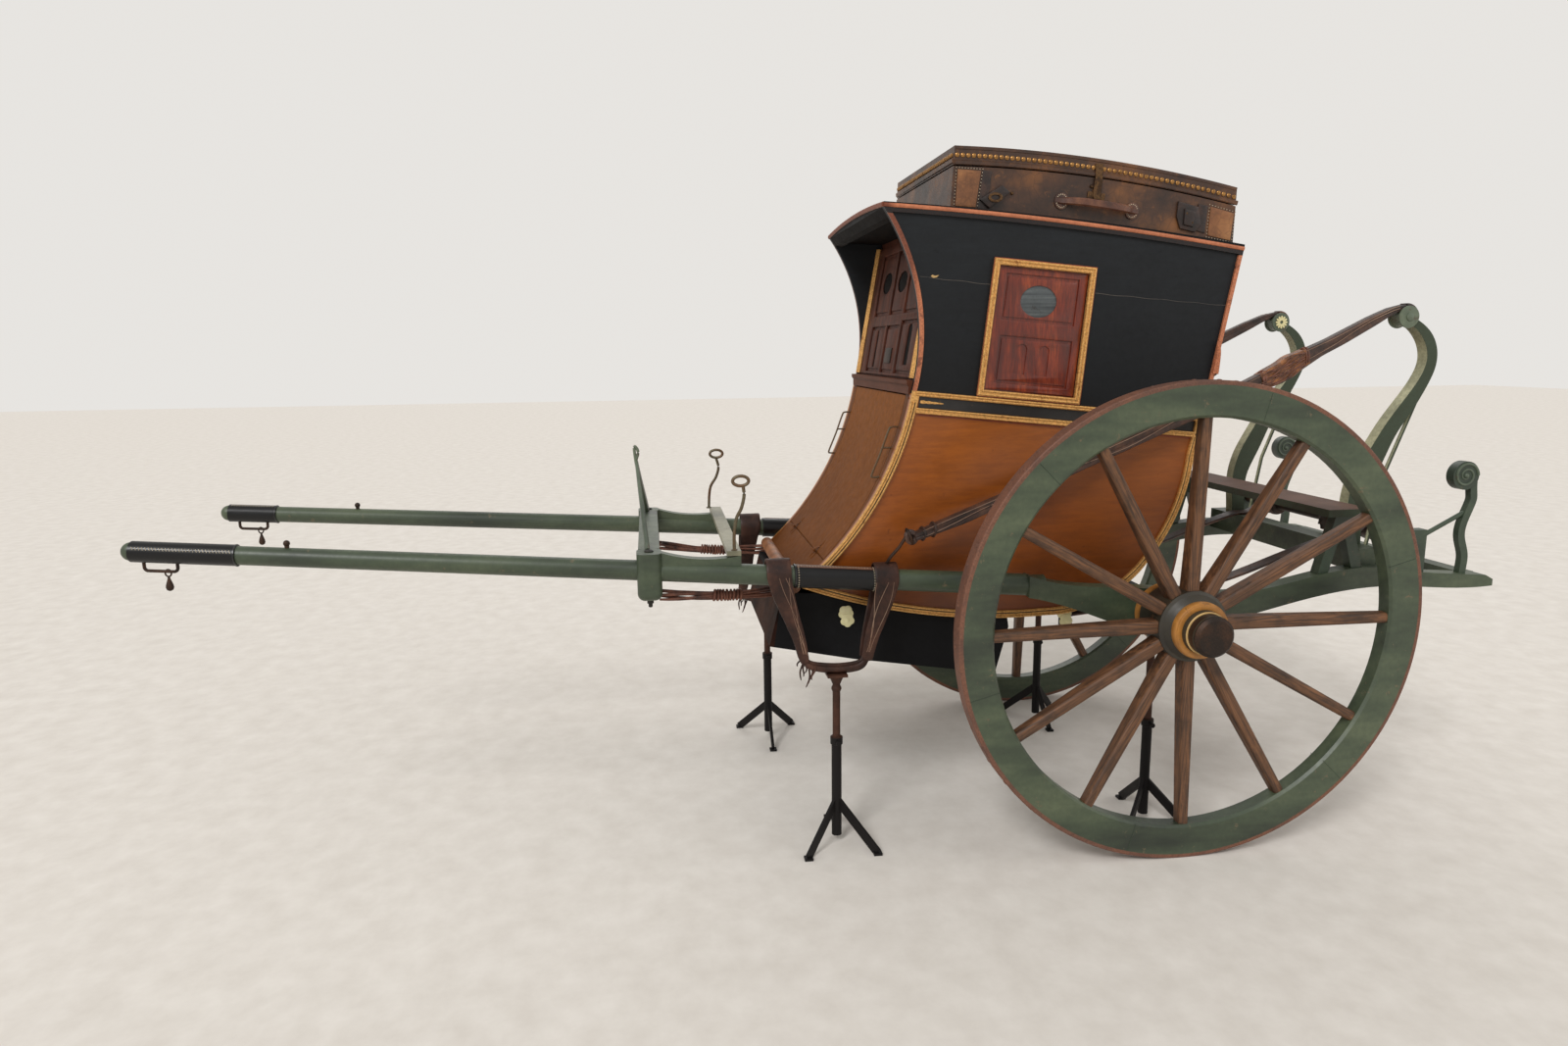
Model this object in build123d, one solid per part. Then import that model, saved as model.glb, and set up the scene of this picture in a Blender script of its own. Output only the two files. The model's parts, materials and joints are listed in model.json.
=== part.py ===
"""Eighteenth-century two-wheeled post chaise, standing on its wheels and four display stands.

Millimetres. The shafts point to -Y, +X is the carriage's left side, +Z is up. Everything is
drawn with the axle at y = 0 and at the height AXLE_Z, and moved at the end so that the floor is
z = 0 and the origin is at the middle of the footprint.
"""
import os
from math import cos, hypot, radians, sin, sqrt

from build123d import *

# Wheels and axle
WHEEL_RADIUS = 780
AXLE_Z = 780
FLOOR_Z = AXLE_Z - WHEEL_RADIUS
TYRE_THICK = 14
TYRE_BEVEL = 3
FELLOE_DEPTH = 100
FELLOE_WIDTH = 62
FELLOE_BEVEL = 8
WHEEL_FACE = 780
SPOKES = 12
SPOKE_ROOT = (44, 62)
SPOKE_TIP = (34, 44)
DISH = 34
NAVE_INNER = WHEEL_FACE - 220
NAVE_OUTER = WHEEL_FACE + 26
NAVE_ENDS = (96, 84)
NAVE_BELLY = 116
NAVE_STEP = 10
BAND_WIDTH = 26
BAND_THICK = 4
CAP_RADIUS = 65
CAP_BEVEL = 10
CAP_REACH = NAVE_OUTER + 78
CAP_WALL = 8
AXLE_SIDE = 70
ARM_RADIUS = 34
BORE_CLEARANCE = 1
LINCH_GAP = 4

# Shafts and side beams
TIP_Y = -3290
SHAFT_END_Y = -400
TIP_X = 368
SHAFT_END_X = 492
TIP_Z = 1076
SHAFT_END_Z = 872
TIP_RADIUS = 29
SHAFT_RADIUS = 37
LEATHER = 4
BEAM_X = 500
BEAM_WIDTH = 60
BEAM_FOOT_Z = 700
REAR_Y = 1265

# Body shell
WALL = 16
SIDE_FAR = 600
BODY_FRONT = (-1300, 485, 405)
BODY_REAR = (360, 378, 322)
BELT_FRONT = (-852, 1520)
BELT_REAR = (204, 1408)
ROOF_FRONT = (-950, 2100)
ROOF_REAR = (314, 1976)
TOE = (-1220, 882)
APRON_MID = (-957, 1215)
WING_MID = (-834, 1800)
ROOF_MID = (-340, 2056)
BACK_KNEE = (181, 1285)
BACK_MID = (139, 1070)
HEEL = (24, 868)
HEEL_MID = (-90, 782)
SOLE = (-330, 728)
SOLE_MID = (-800, 762)
HINGE_Z = 968
GAP = 5
ROOF_THICK = 12
ROOF_CROWN = 18

# Trunk on the roof
TRUNK_HALF = 370
TRUNK_FRONT = -688
TRUNK_REAR = 290
TRUNK_WALL = 12

AXLE_Y = -(TIP_Y - TIP_RADIUS + REAR_Y) / 2

os.makedirs("parts", exist_ok=True)


def side_face(outline):
    """Face in the YZ plane from a closed outline of edges or a list of (y, z) points."""
    if isinstance(outline, list):
        outline = Polyline(*outline, close=True)
    return Plane.YZ * make_face(outline)


def across(face, x0, x1):
    """Extrude a YZ face from x0 to x1."""
    return Pos(x0, 0, 0) * extrude(face, amount=x1 - x0, dir=(1, 0, 0))


def side_plate(points, x0, x1):
    return across(side_face(points), x0, x1)


def front_plate(points, y0, y1):
    """Extrude an outline of (x, z) points from y0 to y1."""
    face = make_face(Polyline(*points, close=True))
    return extrude(Plane.XZ.offset(-y0) * face, amount=y1 - y0, dir=(0, 1, 0))


def block(x, y, z):
    """Box from three (low, high) pairs."""
    size = (x[1] - x[0], y[1] - y[0], z[1] - z[0])
    return Pos((x[0] + x[1]) / 2, (y[0] + y[1]) / 2, (z[0] + z[1]) / 2) * Box(*size)


def span(start, end):
    """Plane at start whose Z points at end, its local X level where it can be, and the length."""
    start, end = Vector(*start), Vector(*end)
    along = end - start
    level = Vector(0, 0, 1).cross(along)
    if level.length < 1e-6 * along.length:
        level = Vector(1, 0, 0)
    return Plane(origin=start, x_dir=level, z_dir=along), along.length


def rod(start, end, radius, end_radius=None):
    plane, length = span(start, end)
    if end_radius is None:
        return plane * extrude(Circle(radius), amount=length)
    return plane * Pos(0, 0, length / 2) * Cone(radius, end_radius, length)


def bar(start, end, wide, tall):
    """Rectangular bar: wide across the level direction, tall across the other."""
    plane, length = span(start, end)
    return plane * extrude(Rectangle(wide, tall), amount=length)


def pipe(points, radius, bends):
    """Round bar along straight runs joined by arcs."""
    path = FilletPolyline(*points, radius=bends)
    return sweep(Plane(origin=path @ 0, z_dir=path % 0) * Circle(radius), path=path)


def both(shape):
    """A shape on the left and its mirror image on the right."""
    return shape + mirror(shape, about=Plane.YZ)


def write(name, shape):
    export_step(Pos(0, AXLE_Y, -FLOOR_Z) * shape, f"parts/{name}.step")


def shaft_at(y):
    """Centre of the left shaft at a given y."""
    t = (y - TIP_Y) / (SHAFT_END_Y - TIP_Y)
    return Vector(TIP_X + t * (SHAFT_END_X - TIP_X), y, TIP_Z + t * (SHAFT_END_Z - TIP_Z))


def shaft_radius(y):
    t = (y - TIP_Y) / (SHAFT_END_Y - TIP_Y)
    return TIP_RADIUS + t * (SHAFT_RADIUS - TIP_RADIUS)


def shaft_run(y0, y1, thick=0):
    """Stretch of the left shaft between two places, thicker by thick all round."""
    return rod(shaft_at(y0), shaft_at(y1), shaft_radius(y0) + thick, shaft_radius(y1) + thick)


# Wheels: drawn on the left, about the X axis through the nave


def turned(points):
    """Solid of revolution about the wheel's axis from (radius, x) points."""
    outline = Polyline(*[(x, AXLE_Z + r) for r, x in points], close=True)
    face = make_face(Plane(origin=(0, 0, 0), x_dir=(1, 0, 0), z_dir=(0, -1, 0)) * outline)
    return revolve(face, axis=Axis((0, 0, AXLE_Z), (1, 0, 0)))


felloe_x0, felloe_x1 = WHEEL_FACE - FELLOE_WIDTH, WHEEL_FACE
felloe_out = WHEEL_RADIUS - TYRE_THICK
felloe_in = felloe_out - FELLOE_DEPTH
tyre = turned([(felloe_out, felloe_x0), (felloe_out, felloe_x1),
               (WHEEL_RADIUS - TYRE_BEVEL, felloe_x1), (WHEEL_RADIUS, felloe_x1 - TYRE_BEVEL),
               (WHEEL_RADIUS, felloe_x0 + TYRE_BEVEL), (WHEEL_RADIUS - TYRE_BEVEL, felloe_x0)])
felloes = turned([(felloe_in, felloe_x0 + FELLOE_BEVEL), (felloe_in, felloe_x1 - FELLOE_BEVEL),
                  (felloe_in + FELLOE_BEVEL, felloe_x1), (felloe_out, felloe_x1),
                  (felloe_out, felloe_x0), (felloe_in + FELLOE_BEVEL, felloe_x0)])

bore = ARM_RADIUS + BORE_CLEARANCE
spoke_x = (felloe_x0 + felloe_x1) / 2 - DISH
seat_half = SPOKE_ROOT[1] / 2 + 6
belly_ends = (spoke_x - seat_half, spoke_x + seat_half)
neck_x = (NAVE_INNER + BAND_WIDTH, NAVE_OUTER - BAND_WIDTH)
nave_outline = [(bore, NAVE_INNER), (NAVE_ENDS[0], NAVE_INNER), (NAVE_ENDS[0], neck_x[0]),
                (NAVE_ENDS[0] + NAVE_STEP / 2, neck_x[0] + NAVE_STEP), (NAVE_BELLY - NAVE_STEP, belly_ends[0] - NAVE_STEP),
                (NAVE_BELLY, belly_ends[0]), (NAVE_BELLY, belly_ends[1]),
                (NAVE_BELLY - NAVE_STEP, belly_ends[1] + NAVE_STEP / 2), (NAVE_ENDS[1] + NAVE_STEP, neck_x[1] - NAVE_STEP),
                (NAVE_ENDS[1], neck_x[1]), (NAVE_ENDS[1], NAVE_OUTER), (bore, NAVE_OUTER)]
nave = turned(nave_outline)
SPOKE_BED = 20
SPOKE_CORNER = 12


def spoke(angle):
    """One tapered spoke, dished outwards from the nave to the felloes."""
    root = Plane(origin=(spoke_x, 0, NAVE_BELLY - SPOKE_BED), x_dir=(1, 0, 0), z_dir=(0, 0, 1))
    tip = Plane(origin=(spoke_x + DISH, 0, felloe_in + SPOKE_BED), x_dir=(1, 0, 0), z_dir=(0, 0, 1))
    outer = root * RectangleRounded(SPOKE_ROOT[1], SPOKE_ROOT[0], SPOKE_CORNER)
    inner = tip * RectangleRounded(SPOKE_TIP[1], SPOKE_TIP[0], SPOKE_CORNER)
    return Pos(0, 0, AXLE_Z) * Rot(angle, 0, 0) * loft([outer, inner])


nave_core = turned([(0, NAVE_INNER)] + nave_outline[1:-1] + [(0, NAVE_OUTER)])
between = turned([(0, NAVE_INNER), (felloe_in, NAVE_INNER), (felloe_in, NAVE_OUTER), (0, NAVE_OUTER)])
spokes = Part() + [(spoke(360 * n / SPOKES) & between) - nave_core for n in range(SPOKES)]

bands = turned([(NAVE_ENDS[1], NAVE_OUTER - BAND_WIDTH), (NAVE_ENDS[1] + BAND_THICK, NAVE_OUTER - BAND_WIDTH),
                (NAVE_ENDS[1] + BAND_THICK, NAVE_OUTER + BAND_THICK), (CAP_RADIUS, NAVE_OUTER + BAND_THICK),
                (CAP_RADIUS, NAVE_OUTER), (NAVE_ENDS[1], NAVE_OUTER)])
bands += turned([(NAVE_ENDS[0], NAVE_INNER), (NAVE_ENDS[0] + BAND_THICK, NAVE_INNER),
                 (NAVE_ENDS[0] + BAND_THICK, NAVE_INNER + BAND_WIDTH), (NAVE_ENDS[0], NAVE_INNER + BAND_WIDTH)])
cap = turned([(CAP_RADIUS - CAP_WALL, NAVE_OUTER), (CAP_RADIUS, NAVE_OUTER), (CAP_RADIUS, CAP_REACH - CAP_BEVEL),
              (CAP_RADIUS - CAP_BEVEL, CAP_REACH), (0, CAP_REACH), (0, CAP_REACH - CAP_WALL),
              (CAP_RADIUS - CAP_WALL, CAP_REACH - CAP_WALL)])
wheel = {"tyre": tyre, "felloes": felloes, "spokes": spokes, "nave": nave, "nave_bands": bands,
         "hub_cap": cap}
for piece, shape in wheel.items():
    write(f"wheel_left_{piece}", shape)
    write(f"wheel_right_{piece}", mirror(shape, about=Plane.YZ))

# Axle: square bed between the naves, round arms through them
bed_end = NAVE_INNER - GAP
axle_bed = block((-bed_end, bed_end), (-AXLE_SIDE / 2, AXLE_SIDE / 2), (AXLE_Z - AXLE_SIDE / 2, AXLE_Z + AXLE_SIDE / 2))
arm_end = CAP_REACH - CAP_WALL - LINCH_GAP
write("axle", axle_bed + rod((-arm_end, 0, AXLE_Z), (arm_end, 0, AXLE_Z), ARM_RADIUS))

# Shafts with the side beams that carry the axle and the rear
BEAM_LAP = 60
SEAT_HALF = 60
BEAM_TOP = [(-355, 884), (-4, 850), (254, 822), (508, 856), (772, 892), (972, 868), (1118, 855)]
BEAM_UNDER = [(1118, 804), (833, 822), (514, 782), (254, 724)]
BEAM_NOSE = [(-220, 762), (-355, 812)]
beam_start = SHAFT_END_Y - BEAM_LAP
BEAM_TAIL = ((846, 830), 806)
beam_edges = [
    Spline((beam_start, shaft_at(beam_start).Z + SHAFT_RADIUS), *BEAM_TOP, (REAR_Y - BEAM_LAP / 2, BEAM_TAIL[0][0])),
    Polyline((REAR_Y - BEAM_LAP / 2, BEAM_TAIL[0][0]), (REAR_Y, BEAM_TAIL[0][1]), (REAR_Y, BEAM_TAIL[1])),
    Spline((REAR_Y, BEAM_TAIL[1]), *BEAM_UNDER, (SEAT_HALF, BEAM_FOOT_Z)),
    Line((SEAT_HALF, BEAM_FOOT_Z), (-SEAT_HALF, BEAM_FOOT_Z)),
    Spline((-SEAT_HALF, BEAM_FOOT_Z), *BEAM_NOSE, (beam_start, shaft_at(beam_start).Z - SHAFT_RADIUS)),
    Line((beam_start, shaft_at(beam_start).Z - SHAFT_RADIUS), (beam_start, shaft_at(beam_start).Z + SHAFT_RADIUS))]
beam = across(side_face(Curve() + beam_edges), BEAM_X - BEAM_WIDTH / 2, BEAM_X + BEAM_WIDTH / 2)
shaft = shaft_run(TIP_Y, SHAFT_END_Y) + Pos(*shaft_at(TIP_Y)) * Sphere(TIP_RADIUS) + beam
shafts = both(shaft) - axle_bed
write("shafts", shafts)

TIP_SLEEVES = (310, 170)
MID_SLEEVE = (-1240, -970)


def sleeve(y0, y1):
    """Leather laced round the left shaft."""
    return shaft_run(y0, y1, LEATHER) - shaft_run(y0 - 1, y1 + 1)


tip_left = sleeve(TIP_Y + 2, TIP_Y + TIP_SLEEVES[0])
tip_right = mirror(sleeve(TIP_Y + 2, TIP_Y + TIP_SLEEVES[1]), about=Plane.YZ)
write("shaft_leathers", tip_left + tip_right + both(sleeve(*MID_SLEEVE)))

# Draught loops under the tips and staples on top
LOOP_Y = (-3258, -3160)
LOOP_ROD = 5
LOOP_DROP = 32
LOOP_BEND = 12
STAPLE_Y = -2830
STAPLE_RISE = 14
STAPLE_ROD = 7
STAPLE_KNOB = 10


def under(y, drop):
    place = shaft_at(y)
    return (place.X, y, place.Z - drop)


loop_seat = shaft_radius(LOOP_Y[0]) - 2
loop = pipe([under(LOOP_Y[0], loop_seat), under(LOOP_Y[0], loop_seat + LOOP_DROP),
             under(LOOP_Y[1], loop_seat + LOOP_DROP), under(LOOP_Y[1], loop_seat)], LOOP_ROD, LOOP_BEND)
loop -= shaft_run(LOOP_Y[0] - 60, LOOP_Y[1] + 60, LEATHER)
staple_foot = shaft_at(STAPLE_Y)
staple_top = staple_foot + Vector(0, 0, shaft_radius(STAPLE_Y) + STAPLE_RISE)
staple = rod(staple_foot, staple_top, STAPLE_ROD) + Pos(*staple_top) * Sphere(STAPLE_KNOB)
staple -= shaft_run(STAPLE_Y - 40, STAPLE_Y + 40)
write("shaft_irons", both(loop + staple))

# Front crossbar with its collars, and the footman's A-shaped iron above it
FRONT_BAR_Y = -1712
COLLAR = (80, 96)
COLLAR_ROUND = 24
BAR_SIZE = (70, 34)
collar_centre = shaft_at(FRONT_BAR_Y)
COLLAR_DOWN, COLLAR_UP = 94, 62
collar_low, collar_high = collar_centre.Z - COLLAR_DOWN, collar_centre.Z + COLLAR_UP
collar_x = (collar_centre.X - COLLAR[1] / 2, collar_centre.X + COLLAR[1] / 2)
collar = block(collar_x, (FRONT_BAR_Y - COLLAR[0] / 2, FRONT_BAR_Y + COLLAR[0] / 2), (collar_low, collar_high))
collar = fillet(collar.edges().filter_by(Axis.Z) + collar.edges().group_by(Axis.Z)[0], COLLAR_ROUND)
bar_z = (collar_high - BAR_SIZE[1], collar_high)
front_bar = block((-collar_x[0], collar_x[0]), (FRONT_BAR_Y - BAR_SIZE[0] / 2, FRONT_BAR_Y + BAR_SIZE[0] / 2), bar_z)
front_frame = front_bar + both(collar) - both(shaft_run(FRONT_BAR_Y - 100, FRONT_BAR_Y + 100))
write("front_crossbar", front_frame)

APEX_Z = 1275
LEG_X = 415
leg = front_plate([(LEG_X + 14, collar_high), (LEG_X - 18, collar_high), (0, APEX_Z - 16), (0, APEX_Z + 14)],
                  FRONT_BAR_Y - 28, FRONT_BAR_Y - 14)
finial = rod((0, FRONT_BAR_Y - 21, APEX_Z), (0, FRONT_BAR_Y - 21, APEX_Z + 46), 7)
eye = Pos(0, FRONT_BAR_Y - 21, APEX_Z + 50) * Rot(90, 0, 0) * Torus(14, 4)
write("a_frame", both(leg) + finial + eye)

# Saddle rails on the shafts and the rear crossbar with its rein rods
REAR_BAR_Y = -1438
REAR_BAR = (46, 16)
rail_y = (FRONT_BAR_Y + COLLAR[0] / 2, REAR_BAR_Y + REAR_BAR[0] / 2)
rail_z = [shaft_at(y).Z for y in rail_y]
RAIL_RISE = (64, 64)
RAIL_HOLLOW = 48
RAIL_WIDTH = 40
rail_mid = (rail_y[0] + rail_y[1]) / 2
with_arc = Curve() + Line((rail_y[0], rail_z[0]), (rail_y[0], rail_z[0] + RAIL_RISE[0])) + ThreePointArc(
    (rail_y[0], rail_z[0] + RAIL_RISE[0]), (rail_mid, shaft_at(rail_mid).Z + RAIL_HOLLOW),
    (rail_y[1], rail_z[1] + RAIL_RISE[1])) + Polyline(
    (rail_y[1], rail_z[1] + RAIL_RISE[1]), (rail_y[1], rail_z[1]), (rail_y[0], rail_z[0]))
rail_x = (shaft_at(rail_mid).X - RAIL_WIDTH / 2, shaft_at(rail_mid).X + RAIL_WIDTH / 2)
rail = across(side_face(with_arc), *rail_x) - shaft_run(rail_y[0] - 50, rail_y[1] + 50)
write("shaft_rails", both(rail))

rear_bar_z = rail_z[1] + RAIL_RISE[1]
rear_bar = block((-rail_x[1], rail_x[1]), (REAR_BAR_Y - REAR_BAR[0] / 2, REAR_BAR_Y + REAR_BAR[0] / 2),
                 (rear_bar_z, rear_bar_z + REAR_BAR[1]))
rear_bar -= both(rail)
write("rear_crossbar", rear_bar)

ROD_RADIUS = 6
RING = (26, 6)
RING_STRETCH = (1, 1.2, 0.74)
rod_x = shaft_at(REAR_BAR_Y).X
rod_top = rear_bar_z + REAR_BAR[1] + 195
rod_line = [(rod_x, REAR_BAR_Y - 4, rear_bar_z + REAR_BAR[1]), (rod_x, REAR_BAR_Y - 4, rear_bar_z + 80),
            (rod_x, REAR_BAR_Y + 26, rear_bar_z + 140), (rod_x, REAR_BAR_Y + 30, rod_top)]
rein_rod = pipe(rod_line, ROD_RADIUS, 20)
ring_rise = (RING[0] + RING[1] / 2) * RING_STRETCH[2]
ring = Pos(rod_x, REAR_BAR_Y + 30, rod_top + ring_rise) * scale(Rot(0, 90, 0) * Torus(*RING), by=RING_STRETCH)
write("rein_rods", both(rein_rod + ring))

# Body shell: a tapered envelope, narrower behind and tucked under below the belt


ENVELOPE_Z = (480, 2400)
TUCK_Z = (880, 1180, 1500)
TUCK_BEND = 0.36
FOOT_DRAW = 10


def envelope(inset):
    """Space inside the side walls, set in from their outer faces by inset."""
    sections = []
    for y, wide, low in (BODY_FRONT, BODY_REAR):
        half = [(wide - inset, ENVELOPE_Z[1]), (wide - inset, TUCK_Z[2])]
        tuck = [half[1], (wide - inset - TUCK_BEND * (wide - low), TUCK_Z[1]), (low - inset, TUCK_Z[0])]
        foot = [tuck[2], (low - inset - FOOT_DRAW, ENVELOPE_Z[0])]
        right = [[(-x, z) for x, z in run] for run in (half, tuck, foot)]
        edges = [Line(*half), ThreePointArc(*tuck), Line(*foot), Line(foot[1], right[2][1]),
                 Line(*right[2][::-1]), ThreePointArc(*right[1][::-1]), Line(*right[0][::-1]),
                 Line(right[0][0], half[0])]
        sections.append(Plane.XZ.offset(-y) * make_face(Curve() + edges))
    return loft(sections, ruled=True)


def body_outline():
    """Closed side view of the body, front at the left."""
    return Curve() + [
        ThreePointArc(TOE, APRON_MID, BELT_FRONT),
        ThreePointArc(BELT_FRONT, WING_MID, ROOF_FRONT),
        ThreePointArc(ROOF_FRONT, ROOF_MID, ROOF_REAR),
        Line(ROOF_REAR, BELT_REAR),
        Line(BELT_REAR, BACK_KNEE),
        ThreePointArc(BACK_KNEE, BACK_MID, HEEL),
        ThreePointArc(HEEL, HEEL_MID, SOLE),
        ThreePointArc(SOLE, SOLE_MID, TOE)]


outline = make_face(body_outline())
inner_outline = offset(outline, amount=-WALL)
ring_face = outline - inner_outline
outside, inside = envelope(0), envelope(WALL)
side_walls = across(Plane.YZ * outline, -SIDE_FAR, SIDE_FAR) & (outside - inside)


def belt_z(y):
    t = (y - BELT_FRONT[0]) / (BELT_REAR[0] - BELT_FRONT[0])
    return BELT_FRONT[1] + t * (BELT_REAR[1] - BELT_FRONT[1])


def region(points):
    return across(side_face(points), -SIDE_FAR, SIDE_FAR)


FAR_FRONT, FAR_REAR = -1400, 500
below_belt = region([(FAR_FRONT, 400), (FAR_REAR, 400), (FAR_REAR, belt_z(FAR_REAR)), (FAR_FRONT, belt_z(FAR_FRONT))])
WINDOW = [(-560, 1926), (-244, 1898), (-284, 1494), (-607, 1528)]
window_hole = region(WINDOW)
write("lower_side_panels", side_walls & below_belt)
write("upper_side_panels", side_walls - below_belt - window_hole)


def end_wall(points):
    """Part of the wall that closes the body between its sides, inside a YZ region."""
    return across(Plane.YZ * (ring_face & make_face(Polyline(*points, close=True))), -SIDE_FAR, SIDE_FAR) & inside


PANEL_FOOT = 600
FRONT_BACK = -1000
FLOOR_Y = (-1190, -110)
FLOOR_TOP = 888
REAR_SPLIT = [(FAR_REAR, 2020), (240, 1960), (100, 1200), (FLOOR_Y[1], 900)]
CEILING = [(FRONT_BACK, 2160), (-960, 2080), (-900, 2062), (-340, 2000), (240, 1960), (240, 2160)]
write("front_lower_panel", end_wall([(FAR_FRONT, PANEL_FOOT), (FLOOR_Y[0], PANEL_FOOT), (FLOOR_Y[0], FLOOR_TOP),
                                     (FRONT_BACK, FLOOR_TOP), (FRONT_BACK, HINGE_Z - GAP),
                                     (FAR_FRONT, HINGE_Z - GAP)]))
write("floor_panel", end_wall([(y, z) for y, z in zip(FLOOR_Y + FLOOR_Y[::-1], (PANEL_FOOT,) * 2 + (FLOOR_TOP,) * 2)]))
write("rear_panel", end_wall([(FLOOR_Y[1], PANEL_FOOT), (FAR_REAR, PANEL_FOOT)] + REAR_SPLIT))
ceiling = end_wall(CEILING)
write("ceiling", ceiling)

# Front door: the curved apron between fixed corner pillars
DOOR_HALF = 385
DOOR_TOP = 1512
DOOR_BACK = -700


def apron_wall(gap):
    """The front wall between the hinge and the ledge, taller by gap at each end."""
    low, high = HINGE_Z - gap, DOOR_TOP + gap
    return end_wall([(FAR_FRONT, low), (DOOR_BACK, low), (DOOR_BACK, high), (FAR_FRONT, high)])


apron = apron_wall(0)
door_slot = block((-DOOR_HALF - GAP, DOOR_HALF + GAP), (FAR_FRONT, DOOR_BACK), (HINGE_Z - GAP, DOOR_TOP + GAP))
pillars = apron_wall(GAP) - door_slot
write("door_panel", apron & block((-DOOR_HALF, DOOR_HALF), (FAR_FRONT, DOOR_BACK), (HINGE_Z, DOOR_TOP)))
body_solid = across(Plane.YZ * outline, -SIDE_FAR, SIDE_FAR)


def circle_through(a, b, c):
    """Centre (y, z) and radius of the circle through three (y, z) points."""
    d = 2 * (a[0] * (b[1] - c[1]) + b[0] * (c[1] - a[1]) + c[0] * (a[1] - b[1]))
    squares = [p[0] ** 2 + p[1] ** 2 for p in (a, b, c)]
    y = (squares[0] * (b[1] - c[1]) + squares[1] * (c[1] - a[1]) + squares[2] * (a[1] - b[1])) / d
    z = (squares[0] * (c[0] - b[0]) + squares[1] * (a[0] - c[0]) + squares[2] * (b[0] - a[0])) / d
    return y, z, hypot(a[0] - y, a[1] - z)


apron_arc = circle_through(TOE, APRON_MID, BELT_FRONT)
roof_arc = circle_through(ROOF_FRONT, ROOF_MID, ROOF_REAR)


def apron_y(z):
    """Outer face of the apron at a height: its arc bends inwards, about a centre in front."""
    return apron_arc[0] + sqrt(apron_arc[2] ** 2 - (z - apron_arc[1]) ** 2)


def roof_z(y):
    return roof_arc[1] + sqrt(roof_arc[2] ** 2 - (y - roof_arc[0]) ** 2)


# Door hinges: a pin in two fixed lugs on the lower panel, one moving lug between them
LUG_RADIUS = 8
PIN_RADIUS = 4
PIN_CLEARANCE = 0.5
LUG_X = ((200, 226), (230, 260), (264, 290))
LUG_INSET = 10
LUG_TAILS = (920, 1030)
hinge_seat = Vector(apron_y(HINGE_Z - GAP / 2), HINGE_Z - GAP / 2)
apron_out = (Vector(apron_arc[0], apron_arc[1]) - hinge_seat).normalized()
hinge_spot = hinge_seat + apron_out * (LUG_RADIUS + GAP)
hinge = (hinge_spot.X, hinge_spot.Y)
apron_down = Vector(-apron_out.Y, apron_out.X)


def hinge_rod(x0, x1, radius):
    return rod((x0, *hinge), (x1, *hinge), radius)


def lug(x, tail_z):
    """Hinge eye with a web down or up the panel behind it, all on its own side of the gap under the door."""
    along = apron_down if tail_z < HINGE_Z else -apron_down
    tail = Vector(apron_y(tail_z), tail_z)
    corners = [hinge_spot + along * GAP / 2, hinge_seat + along * GAP / 2 - apron_out * LUG_INSET,
               tail - apron_out * LUG_INSET, tail, hinge_spot + along * LUG_RADIUS]
    return hinge_rod(*x, LUG_RADIUS) + side_plate([(corner.X, corner.Y) for corner in corners], *x)


low_tail, high_tail = LUG_TAILS
hinge_pin = hinge_rod(LUG_X[0][0], LUG_X[2][1], PIN_RADIUS)
fixed_lugs = (lug(LUG_X[0], low_tail) + lug(LUG_X[2], low_tail)) - body_solid + hinge_pin
moving_lug = lug(LUG_X[1], high_tail) - body_solid - hinge_rod(*LUG_X[1], PIN_RADIUS + PIN_CLEARANCE)
write("door_hinges", both(fixed_lugs))
write("door_irons", both(moving_lug))

# Ledge over the door, the leaning shutter above it and the shutters in the side windows
LEDGE_TOP = 1562
LEDGE_REAR = -800
LEDGE = [(-870, DOOR_TOP + GAP), (LEDGE_REAR, DOOR_TOP + GAP), (LEDGE_REAR, LEDGE_TOP), (-884, LEDGE_TOP),
         (-884, LEDGE_TOP - 12), (-870, LEDGE_TOP - 20)]
SHUTTER_THICK = 20
SHUTTER_FOOT, SHUTTER_HEAD = (-830, LEDGE_TOP), (-740, 2082)
write("front_frame", (side_plate(LEDGE, -SIDE_FAR, SIDE_FAR) & inside) + pillars)
front_shutter = side_plate([SHUTTER_FOOT, SHUTTER_HEAD, (SHUTTER_HEAD[0] + SHUTTER_THICK, SHUTTER_HEAD[1]),
                            (SHUTTER_FOOT[0] + SHUTTER_THICK, SHUTTER_FOOT[1])], -SIDE_FAR, SIDE_FAR)
write("front_shutter", (front_shutter & inside) - ceiling)


def skin(proud, depth):
    """Layer of the side walls between two insets; a negative inset stands proud."""
    return envelope(proud) - envelope(depth)


FRAME_WIDTH = 20
FRAME_PROUD = 11
BELT_PROUD = 8
window_face = make_face(Polyline(*WINDOW, close=True))
frame_face = offset(window_face, amount=FRAME_WIDTH, kind=Kind.INTERSECTION) - window_face
write("side_shutters", window_hole & skin(4, WALL - 2))
window_frames = across(Plane.YZ * frame_face, -SIDE_FAR, SIDE_FAR) & skin(-FRAME_PROUD, 0)
write("window_frames", window_frames)


def belt_band(low, high):
    """Band between two heights above the belt line."""
    ends = [(FAR_FRONT, belt_z(FAR_FRONT)), (FAR_REAR, belt_z(FAR_REAR))]
    return make_face(Polyline(*[(y, z + low) for y, z in ends], *[(y, z + high) for y, z in ends[::-1]], close=True))


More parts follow.
